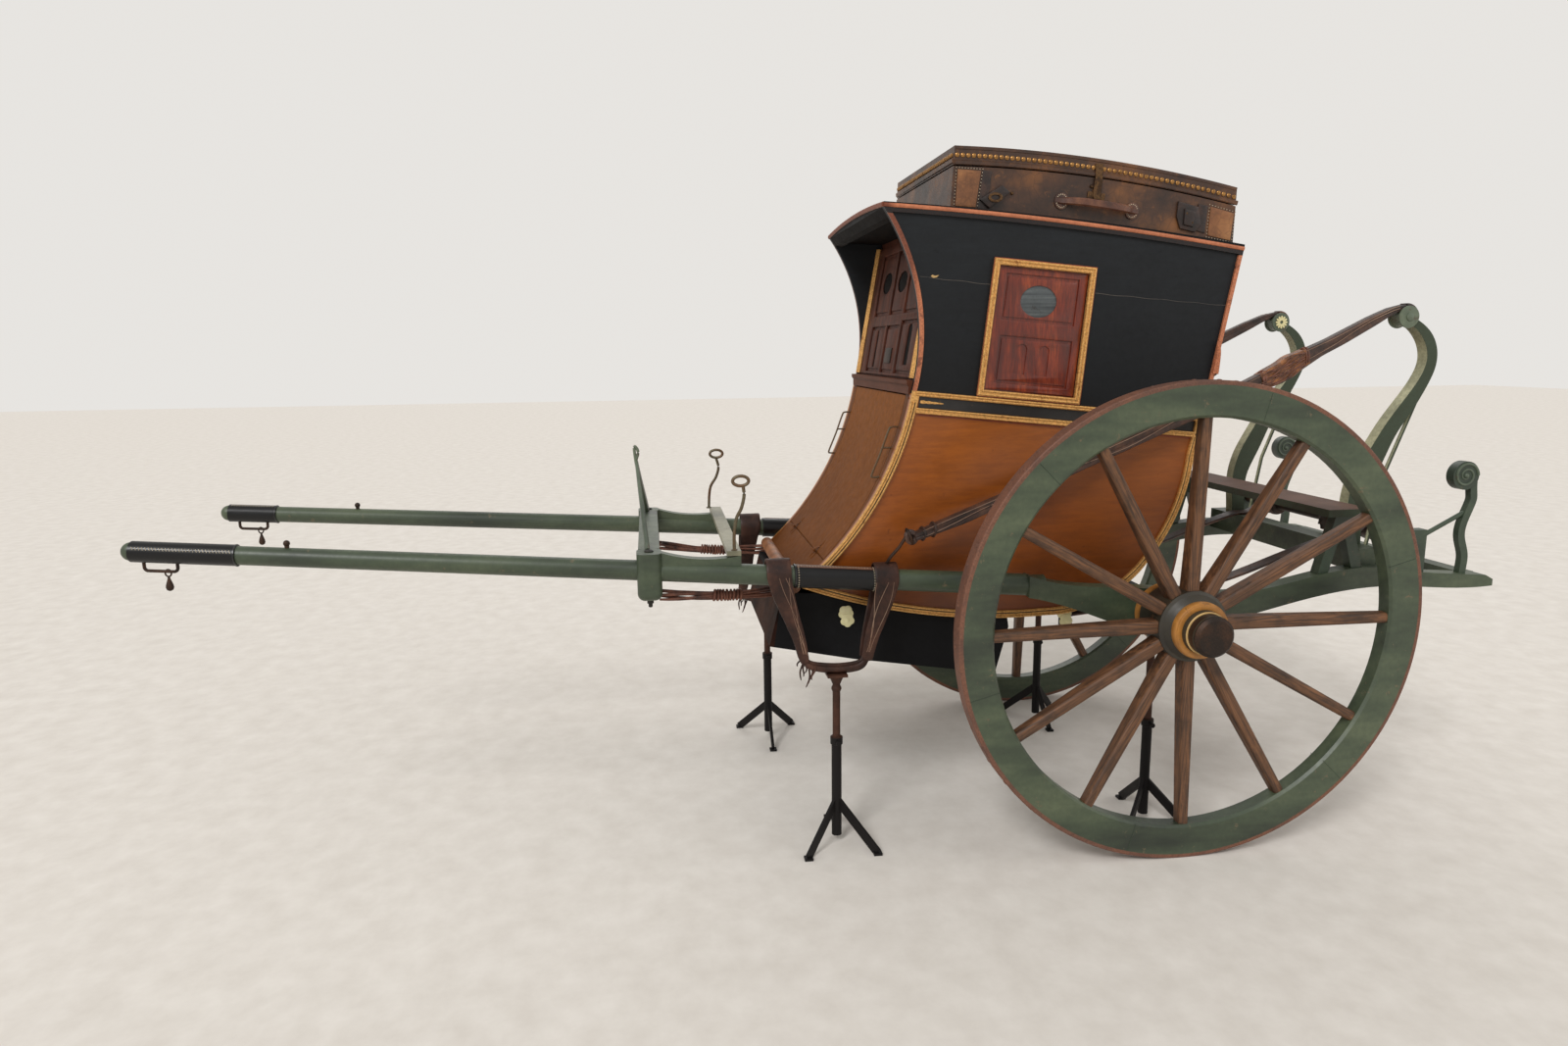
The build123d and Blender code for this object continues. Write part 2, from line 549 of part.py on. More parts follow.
EDGE_BAND = 26
BEAD_BAND = 14
edge_ring = outline - offset(outline, amount=-EDGE_BAND)
bead_ring = outline - offset(outline, amount=-BEAD_BAND)
BELT_LINE = (-6, 10)
LOWER_LINE = (-62, -44)
FAR_BELOW = -1200
below_face = belt_band(FAR_BELOW, BELT_LINE[0])
belt_faces = [belt_band(*BELT_LINE) & outline, belt_band(*LOWER_LINE) & (outline - edge_ring), edge_ring & below_face]
proud_skin = skin(-BELT_PROUD, 0)
mouldings = Part() + [across(Plane.YZ * face, -SIDE_FAR, SIDE_FAR) & proud_skin for face in belt_faces]
write("side_mouldings", mouldings - window_frames)
bead_face = (bead_ring - below_face) - belt_band(*BELT_LINE)
write("edge_beads", across(Plane.YZ * bead_face, -SIDE_FAR, SIDE_FAR) & proud_skin)

# Roof: a crowned cover swept along the roof's arc
roof_path = ThreePointArc(ROOF_FRONT, ROOF_MID, ROOF_REAR)
roof_path = Plane.YZ * roof_path
half = BODY_FRONT[1] + 40
crown_face = make_face(Curve() + [Line((-half, 0), (half, 0)), Line((half, 0), (half, -ROOF_THICK)),
                                  ThreePointArc((half, -ROOF_THICK), (0, -ROOF_THICK - ROOF_CROWN),
                                                (-half, -ROOF_THICK)),
                                  Line((-half, -ROOF_THICK), (-half, 0))])
roof_start = Plane(origin=roof_path @ 0, x_dir=(1, 0, 0), z_dir=roof_path % 0)
roof = sweep(roof_start * crown_face, path=roof_path) & envelope(-BELT_PROUD)
write("roof", roof)

# Seat inside
SEAT_FRONT = -500
SEAT_Z = 1100
CUSHION = 85
SEAT_BOARD = 22
CUSHION_GAP = 3
across_body = (-SIDE_FAR, SIDE_FAR)
cabin = across(Plane.YZ * inner_outline, *across_body) & inside
seat_board = block(across_body, (SEAT_FRONT, FAR_REAR), (SEAT_Z - SEAT_BOARD, SEAT_Z))
seat_riser = block(across_body, (SEAT_FRONT, SEAT_FRONT + SEAT_BOARD), (SOLE[1], SEAT_Z - SEAT_BOARD))
write("seat", (seat_board + seat_riser) & cabin)
cushion_space = across(Plane.YZ * offset(outline, amount=-WALL - CUSHION_GAP), *across_body)
cushion_block = block(across_body, (SEAT_FRONT + CUSHION_GAP, FAR_REAR), (SEAT_Z, SEAT_Z + CUSHION))
write("seat_cushion", cushion_block & cushion_space & envelope(WALL + CUSHION_GAP))

# Boot under the floor, its leather front and the roll above it
BOOT_HALF = 352
BOOT_WALL = 12
BOOT = [(-1268, 850), (-1314, 662), (-1020, 602), (-660, 545), (-512, 508), (-462, 690), (-480, 800)]
boot_face = make_face(Polyline(*BOOT, close=True))
boot_inner = offset(boot_face, amount=-BOOT_WALL) + make_face(
    Polyline((-1240, 800), (-500, 660), (-490, 900), (-1200, 900), close=True))
boot_front_face = boot_face & make_face(Polyline((-1262, 900), (BOOT[1][0] + BOOT_WALL + 4, 655), (FAR_FRONT, 600),
                                                 (FAR_FRONT, 900), close=True))
boot_shell = across(Plane.YZ * boot_face, -BOOT_HALF, BOOT_HALF) - across(
    Plane.YZ * boot_inner, BOOT_WALL - BOOT_HALF, BOOT_HALF - BOOT_WALL)
boot_front = across(Plane.YZ * boot_front_face, -BOOT_HALF, BOOT_HALF)
write("boot", boot_shell - body_solid - boot_front)
write("boot_front", (boot_front & boot_shell) - body_solid)
ROLL_RADIUS = 24
ROLL = (-1232, 878)
ROLL_HALF = 385
roll = rod((-ROLL_HALF, *ROLL), (ROLL_HALF, *ROLL), ROLL_RADIUS) - body_solid - boot_shell
write("front_roll", roll)

# Roof trunk with a hinged lid
SEAM_Z = (2240, 2206, 2121)
TOP_Z = (2303, 2256, 2178)
TRUNK_FOOT_Y = TRUNK_FRONT - 26
TRUNK_SPAN = ((TRUNK_REAR - TRUNK_FRONT) / 2, (TRUNK_REAR + TRUNK_FRONT) / 2)
TRUNK_LOW = 1800


def trunk_arc(heights):
    """Points of the arc through three heights over the trunk's front, middle and rear, carried past both ends."""
    bend = (heights[0] + heights[2]) / 2 - heights[1]
    fall = (heights[2] - heights[0]) / 2
    return [(TRUNK_SPAN[1] + t * TRUNK_SPAN[0], heights[1] + t * fall + t * t * bend) for t in (-1.15, 0, 1.15)]


def under_arc(heights, rise=0):
    """Everything under the arc through three heights, lifted by rise."""
    a, b, c = [(y, z + rise) for y, z in trunk_arc(heights)]
    return make_face(Curve() + [ThreePointArc(a, b, c), Polyline(c, (c[0], TRUNK_LOW), (a[0], TRUNK_LOW), a)])


trunk_ends = make_face(Polyline((TRUNK_FOOT_Y, 2000), (TRUNK_FRONT, 2400), (TRUNK_REAR, 2400),
                                (TRUNK_REAR - 8, 1900), (TRUNK_FOOT_Y, 1900), close=True))
trunk_face = trunk_ends & under_arc(TOP_Z)
hollow_ends = offset(trunk_ends, amount=-TRUNK_WALL)
roof_curve = ThreePointArc((-1100, roof_z(-1100)), (-300, roof_z(-300)), (500, roof_z(500)))
above_roof = make_face(Curve() + [roof_curve, Polyline((500, roof_z(500)), (500, 2600), (-1100, 2600),
                                                       (-1100, roof_z(-1100)))])
FLOOR_LIFT = ROOF_THICK + ROOF_CROWN + 8
hollow = hollow_ends & under_arc(TOP_Z, -TRUNK_WALL) & (Pos(0, FLOOR_LIFT) * above_roof)
trunk_solid = across(Plane.YZ * (trunk_face & above_roof), -TRUNK_HALF, TRUNK_HALF) - across(
    Plane.YZ * hollow, TRUNK_WALL - TRUNK_HALF, TRUNK_HALF - TRUNK_WALL)
write("trunk_body", (trunk_solid & across(Plane.YZ * under_arc(SEAM_Z), -SIDE_FAR, SIDE_FAR)) - roof)
write("trunk_lid", trunk_solid - across(Plane.YZ * under_arc(SEAM_Z, GAP), -SIDE_FAR, SIDE_FAR))

# Trunk fittings: a leather handle, hasp and two buckled straps on the left wall, hinges on the right
near_wall = TRUNK_HALF
handle_y = (-350, -130)
HANDLE_TOP = 2135
HANDLE_FALL = (0, 6, 22, 28)
HANDLE_OUT = (-2, 20, 20, -2)
HANDLE_TURN = 16
HASP = ((-258, -222), (2120, 2200), 4)
STRAP_PADS = (-640, 90)
PAD_SIZE = (8, 60, 40, 110)
handle_line = (handle_y[0], handle_y[0] + HANDLE_TURN, handle_y[1] - HANDLE_TURN, handle_y[1])
HANDLE_CORD, HANDLE_CORNER = 9, 10
handle_run = [(near_wall + out, y, HANDLE_TOP - fall) for out, y, fall in zip(HANDLE_OUT, handle_line, HANDLE_FALL)]
trunk_handle = pipe(handle_run, HANDLE_CORD, HANDLE_CORNER)
plates = block((near_wall, near_wall + HASP[2]), HASP[0], HASP[1])
for y in STRAP_PADS:
    plates += block((near_wall, near_wall + PAD_SIZE[0]), (y, y + PAD_SIZE[1]),
                    (roof_z(y) + PAD_SIZE[2], roof_z(y) + PAD_SIZE[3]))
write("trunk_fittings", (trunk_handle - trunk_solid) + plates)

# The lid's hinge line follows the chord of the seam, outside the right wall
lid_arc = circle_through(*trunk_arc(SEAM_Z))


def seam_z(y):
    return lid_arc[1] + sqrt(lid_arc[2] ** 2 - (y - lid_arc[0]) ** 2)


LID_PIN = 3
LID_EYE = 6
LID_HINGES = (-560, 130)
lid_ends = [(y, seam_z(y)) for y in LID_HINGES]
lid_slope = (lid_ends[1][1] - lid_ends[0][1]) / (LID_HINGES[1] - LID_HINGES[0])
lid_x = -TRUNK_HALF - LID_EYE - 1


def lid_axis(y):
    return (lid_x, y, lid_ends[0][1] + (y - LID_HINGES[0]) * lid_slope)


def lid_rod(y0, y1, radius):
    return rod(lid_axis(y0), lid_axis(y1), radius)


fixed_eyes, moving_eyes = Part(), Part()
for y in LID_HINGES:
    low, high = lid_axis(y)[2] - 40, lid_axis(y)[2] + 34
    leaf_x = (lid_x, -TRUNK_HALF)
    for side in (-1, 1):
        eye_y = sorted((y + side * 12, y + side * 30))
        fixed_eyes += lid_rod(*eye_y, LID_EYE) + block(leaf_x, eye_y, (low, low + 38))
    fixed_eyes += lid_rod(y - 30, y + 30, LID_PIN)
    moving_eyes += lid_rod(y - 10, y + 10, LID_EYE) + block(leaf_x, (y - 10, y + 10), (high - 34, high))
    moving_eyes -= lid_rod(y - 31, y + 31, LID_PIN + PIN_CLEARANCE)
write("trunk_hinges", fixed_eyes - trunk_solid)
write("lid_hinges", moving_eyes - trunk_solid)

# Rear frame: a crossbeam and an end bar between the side beams, a luggage board on two trestles
CROSSBEAM_Y = (778, 858)
CROSSBEAM_Z = (862, 945)
END_BAR_Y = (1184, 1240)
END_BAR_Z = (806, 846)
beam_in, beam_out = BEAM_X - BEAM_WIDTH / 2, BEAM_X + BEAM_WIDTH / 2
crossbeam = block((-beam_in, beam_in), CROSSBEAM_Y, CROSSBEAM_Z)
write("rear_crossbeams", crossbeam + block((-beam_in, beam_in), END_BAR_Y, END_BAR_Z))

BOARD_Y = (592, 752)
BOARD_Z = (1078, 1104)
BOARD_HALF = 550
TRESTLE_THICK = 40
TRESTLE_FOOT = 840
TRESTLE_ARCH = 1016
SEAT_GAP = 0.3
write("rear_board", block((-BOARD_HALF, BOARD_HALF), BOARD_Y, BOARD_Z))
arch_mid = (BOARD_Y[0] + BOARD_Y[1]) / 2
trestle_legs = ((BOARD_Y[0] - 12, BOARD_Y[0] + 26), (BOARD_Y[1] - 22, BOARD_Y[1] + 16))
trestle_top = BOARD_Z[0] - SEAT_GAP
trestle = side_plate([(trestle_legs[0][0], TRESTLE_FOOT), (arch_mid - 30, trestle_top), (arch_mid + 30, trestle_top),
                      (trestle_legs[1][1], TRESTLE_FOOT), (trestle_legs[1][0], TRESTLE_FOOT),
                      (arch_mid + 6, TRESTLE_ARCH), (arch_mid - 6, TRESTLE_ARCH), (trestle_legs[0][1], TRESTLE_FOOT)],
                     BEAM_X - TRESTLE_THICK / 2, BEAM_X + TRESTLE_THICK / 2)

# S-shaped posts on the crossbeam, with the rollers that carry the main straps
POST_X = 360
POST_WIDTH = 46
ROLLER = (955, 1752)
ROLLER_RADIUS = 34
ROLLER_WIDTH = 60
POST_REAR = [(846, 1040), (850, 1104), (880, 1180), (909, 1243), (954, 1344), (1002, 1418), (1058, 1517), (1081, 1579),
             (1080, 1640), (1052, 1696), (1004, 1736)]
POST_FRONT = [(1002, 1700), (1030, 1662), (1044, 1604), (1020, 1535), (965, 1457), (906, 1376), (858, 1295), (815, 1214),
              (792, 1140), (786, 1080), (790, 1010)]
post_foot = (CROSSBEAM_Y[0] + 16, CROSSBEAM_Y[1] - 8)
post_head = (ROLLER[0], ROLLER[1] + 8), (ROLLER[0], ROLLER[1] - 18)
post_edges = [Spline((post_foot[1], CROSSBEAM_Z[1]), *POST_REAR, post_head[0]), Line(*post_head),
              Spline(post_head[1], *POST_FRONT, (post_foot[0], CROSSBEAM_Z[1])),
              Line((post_foot[0], CROSSBEAM_Z[1]), (post_foot[1], CROSSBEAM_Z[1]))]
post = across(side_face(Curve() + post_edges), POST_X - POST_WIDTH / 2, POST_X + POST_WIDTH / 2)
STAY_ROD = 7
STAY = [(1040, 1470), (930, 1180), (post_foot[1] + 34, CROSSBEAM_Z[0] + 40)]
stay = pipe([(POST_X, y, z) for y, z in STAY], STAY_ROD, 60)
stay += rod((POST_X, *STAY[2]), (POST_X, CROSSBEAM_Y[1] - 2, STAY[2][1]), STAY_ROD)
roller = rod((POST_X - ROLLER_WIDTH / 2, *ROLLER), (POST_X + ROLLER_WIDTH / 2, *ROLLER), ROLLER_RADIUS)
write("s_posts", both(post + stay) - both(roller) - crossbeam)
write("rollers", both(roller))

# Main straps: from a buckle above each shaft, past the body, over the roller; thick leather, swollen where it is bound
STRAP = (40, 14)
STRAP_FOOT = (503, -860, 1056)
STRAP_REACH = 0.04
STRAP_SLAB = 400
STRAP_TOP = [(-856, 1068), (-695, 1130), (-549, 1184), (-200, 1322), (100, 1440), (353, 1547), (434, 1584),
             (500, 1622), (560, 1646), (651, 1680), (816, 1755), (893, 1785)]
STRAP_UNDER = [(881, 1752), (828, 1722), (700, 1656), (617, 1618), (560, 1584), (463, 1524), (400, 1508),
               (100, 1396), (-200, 1280), (-572, 1136), (-684, 1092), (-848, 1043)]
roller_top = ROLLER[1] + ROLLER_RADIUS
strap_top = (POST_X, ROLLER[0], roller_top + STRAP[1] / 2)
strap_path = Vector(*strap_top) - Vector(*STRAP_FOOT)
strap_slab = bar(Vector(*STRAP_FOOT) - strap_path * STRAP_REACH, Vector(*strap_top) + strap_path * STRAP_REACH,
                 STRAP[0], STRAP_SLAB)
strap_side = STRAP_TOP + [(ROLLER[0], roller_top + STRAP[1]), (ROLLER[0], roller_top)] + STRAP_UNDER
strap_run = side_plate(strap_side, 0, SIDE_FAR) & strap_slab
wrap = rod((POST_X - STRAP[0] / 2, *ROLLER), (POST_X + STRAP[0] / 2, *ROLLER), ROLLER_RADIUS + STRAP[1])
wrap &= block((0, SIDE_FAR), (ROLLER[0], ROLLER[0] + SIDE_FAR), (ROLLER[1] + ROLLER_RADIUS / 2, ROLLER[1] + SIDE_FAR))
strap_run += wrap
write("main_straps", both(strap_run) - both(roller) - both(post))

SHAFT_RING_Y = -936
ring_seat = shaft_at(SHAFT_RING_Y)
hook = pipe([(ring_seat.X, SHAFT_RING_Y, ring_seat.Z), (ring_seat.X + 4, SHAFT_RING_Y, ring_seat.Z + 70),
             (STRAP_FOOT[0], STRAP_FOOT[1] - 8, STRAP_FOOT[2] - 4)], 7, 20)
buckle_size = (54, 30, 40)
strap_plane, _ = span(STRAP_FOOT, strap_top)
buckle = strap_plane * Pos(0, 0, buckle_size[1] / 2 - 6) * Box(buckle_size[0], buckle_size[2], buckle_size[1])
irons = (hook + buckle) - strap_run - shaft_run(-1100, -800)

# Slings: a loop of leather before and behind each mid sleeve, joined under the stand's head
SLING_THICK = 9
SLING_LOOPS = ((-1334, -1256), (-978, -902))
SLING_HALF = 112
SLING_FOOT_WIDE = 34
SLING_FOOT_Z = (600, 614)
SLING_FOOT_Y = {1: -1106, -1: -1226}
SLING_FOOT_X = (446, 520)
SLING_FOOT_LIFT = 6
LEG_SPREAD = 26
LEG_BITE = 2
sling_x = sum(SLING_FOOT_X) / 2
sleeve_space = shaft_run(-1400, -800) + sleeve(*MID_SLEEVE)


def sling(foot_mid):
    """Left sling: two loops of leather round the shaft and a saddle on the stand's head below them."""
    shape = block(SLING_FOOT_X, (foot_mid - SLING_HALF, foot_mid + SLING_HALF), SLING_FOOT_Z)
    reach = SLING_HALF - SLING_FOOT_WIDE
    for (y0, y1), foot_y in zip(SLING_LOOPS, (foot_mid - reach, foot_mid + reach)):
        shape += shaft_run(y0, y1, SLING_THICK)
        middle = shaft_at((y0 + y1) / 2)
        for out in (-1, 1):
            plane, length = span((middle.X + out * (shaft_radius(middle.Y) + LEG_BITE), middle.Y, middle.Z),
                                 (sling_x + out * LEG_SPREAD, foot_y, SLING_FOOT_Z[0] + SLING_FOOT_LIFT))
            shape += plane * loft([Rectangle(SLING_THICK, y1 - y0),
                                   Pos(0, 0, length) * Rectangle(SLING_THICK, SLING_FOOT_WIDE)])
    return shape - sleeve_space


slings = sling(SLING_FOOT_Y[1]) + mirror(sling(SLING_FOOT_Y[-1]), about=Plane.YZ)
write("sling_straps", slings)
write("strap_irons", both(irons) - slings)

# Lashings from the front collars back to the body's toe
LASH_RADIUS = 10
LASH_FOOT = (352, ROLL[0] + 4, ROLL[1] - 8)
lash_head = (collar_centre.X - 20, FRONT_BAR_Y + COLLAR[0] / 2 - 10, collar_low + 22)
lashing = rod(lash_head, LASH_FOOT, LASH_RADIUS) + rod(
    (lash_head[0], lash_head[1], lash_head[2] - 26), (LASH_FOOT[0], LASH_FOOT[1], LASH_FOOT[2] - 8), LASH_RADIUS)
write("lashings", both(lashing) - front_frame - roll - body_solid - boot_shell - boot_front)

# Windlass behind the body, in two bearing blocks on the side beams
WINDLASS = (962, 986)
WINDLASS_RADIUS = 20
DRUM = (256, 344, 36)
RATCHET = (70, 88, 62)
RATCHET_TEETH = 16
TOOTH = 9
TOOTH_LEAN = 0.1
BEARING = (20, 34, 30)
BEARING_FOOT = 860
bearing = block((BEAM_X - BEARING[0], BEAM_X + BEARING[0]), (WINDLASS[0] - BEARING[1], WINDLASS[0] + BEARING[1]),
                (BEARING_FOOT, WINDLASS[1] + BEARING[2]))
windlass = rod((BEARING[0] - BEAM_X, *WINDLASS), (BEAM_X - BEARING[0], *WINDLASS), WINDLASS_RADIUS)
windlass += both(rod((DRUM[0], *WINDLASS), (DRUM[1], *WINDLASS), DRUM[2]))
teeth = []
for n in range(RATCHET_TEETH):
    for turn, reach in ((0, RATCHET[2]), (TOOTH_LEAN, RATCHET[2] - TOOTH)):
        angle = radians(360 * (n + turn) / RATCHET_TEETH)
        teeth.append((WINDLASS[0] + reach * cos(angle), WINDLASS[1] + reach * sin(angle)))
windlass += side_plate(teeth, *RATCHET[:2])
write("windlass", windlass)

# Straps from the windlass, over the crossbeam, down to hooks under the sole
REAR_STRAP = (272, 328)
REAR_STRAP_THICK = 7
STRAP_LINE = [(-240, 716), (66, 742), (382, 817), (620, 897)]
STRAP_END = (-22, 22)
over_beam = [(y, CROSSBEAM_Z[1] + rise) for y, rise in zip(CROSSBEAM_Y, (SEAT_GAP, SEAT_GAP + 8))]
low_edge = STRAP_LINE + over_beam + [(WINDLASS[0] + STRAP_END[0], WINDLASS[1] + STRAP_END[1])]
high_edge = [(y, z + REAR_STRAP_THICK) for y, z in low_edge]
strap_edges = [Spline(*low_edge), Line(low_edge[-1], high_edge[-1]), Spline(*high_edge[::-1]),
               Line(high_edge[0], low_edge[0])]
SOLE_HOOK = (-275, -238)
hook_block = block(REAR_STRAP, SOLE_HOOK, (STRAP_LINE[0][1] - REAR_STRAP_THICK, SOLE[1] + 60))
rear_strap = across(side_face(Curve() + strap_edges), *REAR_STRAP) - crossbeam - windlass
write("rear_straps", both(rear_strap + (hook_block - body_solid)))
supports = both(Pos(0, 0, SEAT_GAP) * ((bearing + trestle) - beam))
write("rear_supports", supports)

# Scrolled irons at the ends of the side beams
SCROLL_THICK = 24
SCROLL_HEAD = (1128, 1203)
SCROLL_RADIUS = 50
SCROLL_DEEP = 26
SCROLL_LINE = [(1156, 840), (1158, 920), (1139, 985), (1148, 1050), (1170, 1112)]
scroll_top = (SCROLL_HEAD[0] + SCROLL_RADIUS - SCROLL_DEEP / 2, SCROLL_HEAD[1])
scroll_path = Spline(*[(BEAM_X, y, z) for y, z in SCROLL_LINE + [scroll_top]], tangents=[(0, 0, 1), (0, 0, 1)])
scroll_start = Plane(origin=scroll_path @ 0, x_dir=(1, 0, 0), z_dir=scroll_path % 0)
scroll = sweep(scroll_start * Rectangle(SCROLL_THICK, SCROLL_DEEP), path=scroll_path)
scroll += rod((BEAM_X - SCROLL_THICK * 0.7, *SCROLL_HEAD), (BEAM_X + SCROLL_THICK * 0.7, *SCROLL_HEAD), SCROLL_RADIUS)
scroll += rod((BEAM_X, WINDLASS[0] + 30, WINDLASS[1] + 4), (BEAM_X, 1152, 1072), 8)
write("rear_scrolls", both(scroll) - shafts - supports)

# Four display stands: two under the slings, two under the side beams beside the axle
STAND_FOOT = 165
STAND_SPLIT = 372
STAND_HEAD = 8
STAND_POLE = 13
STAND_TUBE = 17
STAND_TUBE_FOOT = 24
STAND_PLATE = (30, 34)
STAND_FLARE = (26, 30)
STAND_LEG = (10, 30)
LEG_ROOT = 150
LEG_END = 6
FOOT_HALF = 14


def stand(x, y, top, out):
    """Tripod stand with a square head; out is the side on which two of its legs spread."""
    pole = rod((x, y, STAND_SPLIT), (x, y, top - STAND_HEAD), STAND_POLE)
    pole += rod((x, y, FLOOR_Z + STAND_TUBE_FOOT), (x, y, STAND_SPLIT), STAND_TUBE)
    head = block((x - STAND_PLATE[0], x + STAND_PLATE[0]), (y - STAND_PLATE[1], y + STAND_PLATE[1]),
                 (top - STAND_HEAD, top))
    flare = Pos(x, y, top - STAND_HEAD - STAND_FLARE[1] / 2) * Cone(STAND_POLE, *STAND_FLARE)
    legs = Part()
    for angle in (45, 180, 315):
        foot_x, foot_y = x + out * STAND_FOOT * cos(radians(angle)), y + STAND_FOOT * sin(radians(angle))
        legs += block((foot_x - FOOT_HALF, foot_x + FOOT_HALF), (foot_y - FOOT_HALF, foot_y + FOOT_HALF),
                      (FLOOR_Z, FLOOR_Z + STAND_HEAD))
        legs += bar((x, y, FLOOR_Z + LEG_ROOT), (foot_x, foot_y, FLOOR_Z + LEG_END), *STAND_LEG)
    leg_space = block((x - SIDE_FAR, x + SIDE_FAR), (y - SIDE_FAR, y + SIDE_FAR), (FLOOR_Z, STAND_SPLIT))
    return pole + head + flare + (legs & leg_space)


stands = both(stand(BEAM_X, 0, BEAM_FOOT_Z, 1))
for side, foot_mid in SLING_FOOT_Y.items():
    stands += stand(side * sling_x, foot_mid, SLING_FOOT_Z[0], side)
write("display_stands", stands)
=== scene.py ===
import json
import math
import random

import bpy
import bmesh
from mathutils import Matrix, Vector

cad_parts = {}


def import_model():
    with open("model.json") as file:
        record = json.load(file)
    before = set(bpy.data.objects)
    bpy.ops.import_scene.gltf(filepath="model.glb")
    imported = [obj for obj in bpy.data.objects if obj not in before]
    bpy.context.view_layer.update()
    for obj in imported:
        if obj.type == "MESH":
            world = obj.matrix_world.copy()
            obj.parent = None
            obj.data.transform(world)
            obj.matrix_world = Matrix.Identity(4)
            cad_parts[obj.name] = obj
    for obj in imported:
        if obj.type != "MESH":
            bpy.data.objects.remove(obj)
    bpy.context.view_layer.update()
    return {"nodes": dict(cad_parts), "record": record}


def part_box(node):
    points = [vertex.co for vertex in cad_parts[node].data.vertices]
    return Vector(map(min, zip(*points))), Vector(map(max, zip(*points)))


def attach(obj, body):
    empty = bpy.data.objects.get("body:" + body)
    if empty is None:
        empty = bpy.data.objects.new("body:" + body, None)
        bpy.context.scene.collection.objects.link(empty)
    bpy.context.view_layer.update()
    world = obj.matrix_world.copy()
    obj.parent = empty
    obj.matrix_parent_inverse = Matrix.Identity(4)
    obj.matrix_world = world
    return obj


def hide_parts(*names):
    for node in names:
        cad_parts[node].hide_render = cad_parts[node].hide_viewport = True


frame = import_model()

nodes = frame["nodes"]
SHIFT = 1.027
AXLE_Z = 780
TYRE_FACE = 780
FELLOE_BACK = 718
SMOOTH_UNDER = math.radians(35)


def rgb(r, g, b):
    """Linear colour from 0 to 255 screen values."""
    out = []
    for v in (r, g, b):
        v = v / 255
        out.append(v / 12.92 if v <= 0.04045 else ((v + 0.055) / 1.055) ** 2.4)
    return (*out, 1.0)


# Materials


class Look:
    """A node material put together from noises, ramps and mixes."""

    def __init__(self, name):
        self.mat = bpy.data.materials.new(name)
        self.mat.use_nodes = True
        self.tree = self.mat.node_tree
        self.tree.nodes.clear()
        self.out = self.add("ShaderNodeOutputMaterial")
        self.shader = self.add("ShaderNodeBsdfPrincipled")
        self.link(self.shader.outputs["BSDF"], self.out.inputs["Surface"])
        self.coords = self.add("ShaderNodeTexCoord")

    def add(self, kind, **props):
        node = self.tree.nodes.new(kind)
        for key, value in props.items():
            setattr(node, key, value)
        return node

    def link(self, a, b):
        self.tree.links.new(a, b)

    def put(self, socket, value):
        if hasattr(value, "is_output"):
            self.link(value, socket)
        elif value is not None:
            socket.default_value = value

    def space(self, scale):
        """Object coordinates, scaled."""
        mapping = self.add("ShaderNodeMapping")
        self.link(self.coords.outputs["Object"], mapping.inputs["Vector"])
        mapping.inputs["Scale"].default_value = scale
        return mapping.outputs["Vector"]

    def noise(self, scale, detail=4, rough=0.55, space=None, distortion=0.0):
        node = self.add("ShaderNodeTexNoise")
        self.link(space or self.coords.outputs["Object"], node.inputs["Vector"])
        node.inputs["Scale"].default_value = scale
        node.inputs["Detail"].default_value = detail
        node.inputs["Roughness"].default_value = rough
        node.inputs["Distortion"].default_value = distortion
        return node.outputs["Fac"]

    def cells(self, scale, feature="F1"):
        node = self.add("ShaderNodeTexVoronoi", feature=feature)
        self.link(self.coords.outputs["Object"], node.inputs["Vector"])
        node.inputs["Scale"].default_value = scale
        return node.outputs["Distance"]

    def ramp(self, fac, stops):
        """Stops are (place, colour or grey)."""
        node = self.add("ShaderNodeValToRGB")
        self.put(node.inputs["Fac"], fac)
        ramp = node.color_ramp
        while len(ramp.elements) < len(stops):
            ramp.elements.new(0.5)
        for element, (place, colour) in zip(ramp.elements, stops):
            element.position = place
            element.color = colour if isinstance(colour, tuple) else (colour, colour, colour, 1)
        return node.outputs["Color"]

    def mix(self, fac, a, b):
        node = self.add("ShaderNodeMix", data_type="RGBA")
        self.put(node.inputs["Factor"], fac)
        for socket, value in (("A", a), ("B", b)):
            target = [s for s in node.inputs if s.name == socket and s.type == "RGBA"][0]
            self.put(target, value)
        return [s for s in node.outputs if s.type == "RGBA"][0]

    def calc(self, operation, a, b):
        node = self.add("ShaderNodeMath", operation=operation)
        for socket, value in zip(node.inputs, (a, b)):
            self.put(socket, value)
        return node.outputs[0]

    def scaled(self, value, scale, shift):
        """value * scale + shift"""
        return self.calc("ADD", self.calc("MULTIPLY", value, scale), shift)

    def stain(self, colour, mask, stops, other):
        """Colour with the other one laid over it where the ramp over the mask is bright."""
        return self.mix(self.ramp(mask, stops), colour, other)

    def axis(self, name, space=None):
        node = self.add("ShaderNodeSeparateXYZ")
        self.link(space or self.coords.outputs["Object"], node.inputs[0])
        return node.outputs[name]

    def bump(self, height, strength, distance):
        node = self.add("ShaderNodeBump")
        node.inputs["Strength"].default_value = strength
        node.inputs["Distance"].default_value = distance
        self.link(height, node.inputs["Height"])
        return node.outputs["Normal"]

    def finish(self, colour, rough=0.5, metal=0.0, normal=None, coat=0.0, coat_rough=0.2,
               specular=0.5):
        sockets = self.shader.inputs
        self.put(sockets["Base Color"], colour)
        self.put(sockets["Roughness"], rough)
        sockets["Metallic"].default_value = metal
        sockets["Coat Weight"].default_value = coat
        sockets["Coat Roughness"].default_value = coat_rough
        sockets["Specular IOR Level"].default_value = specular
        if normal is not None:
            self.link(normal, sockets["Normal"])
        return self.mat


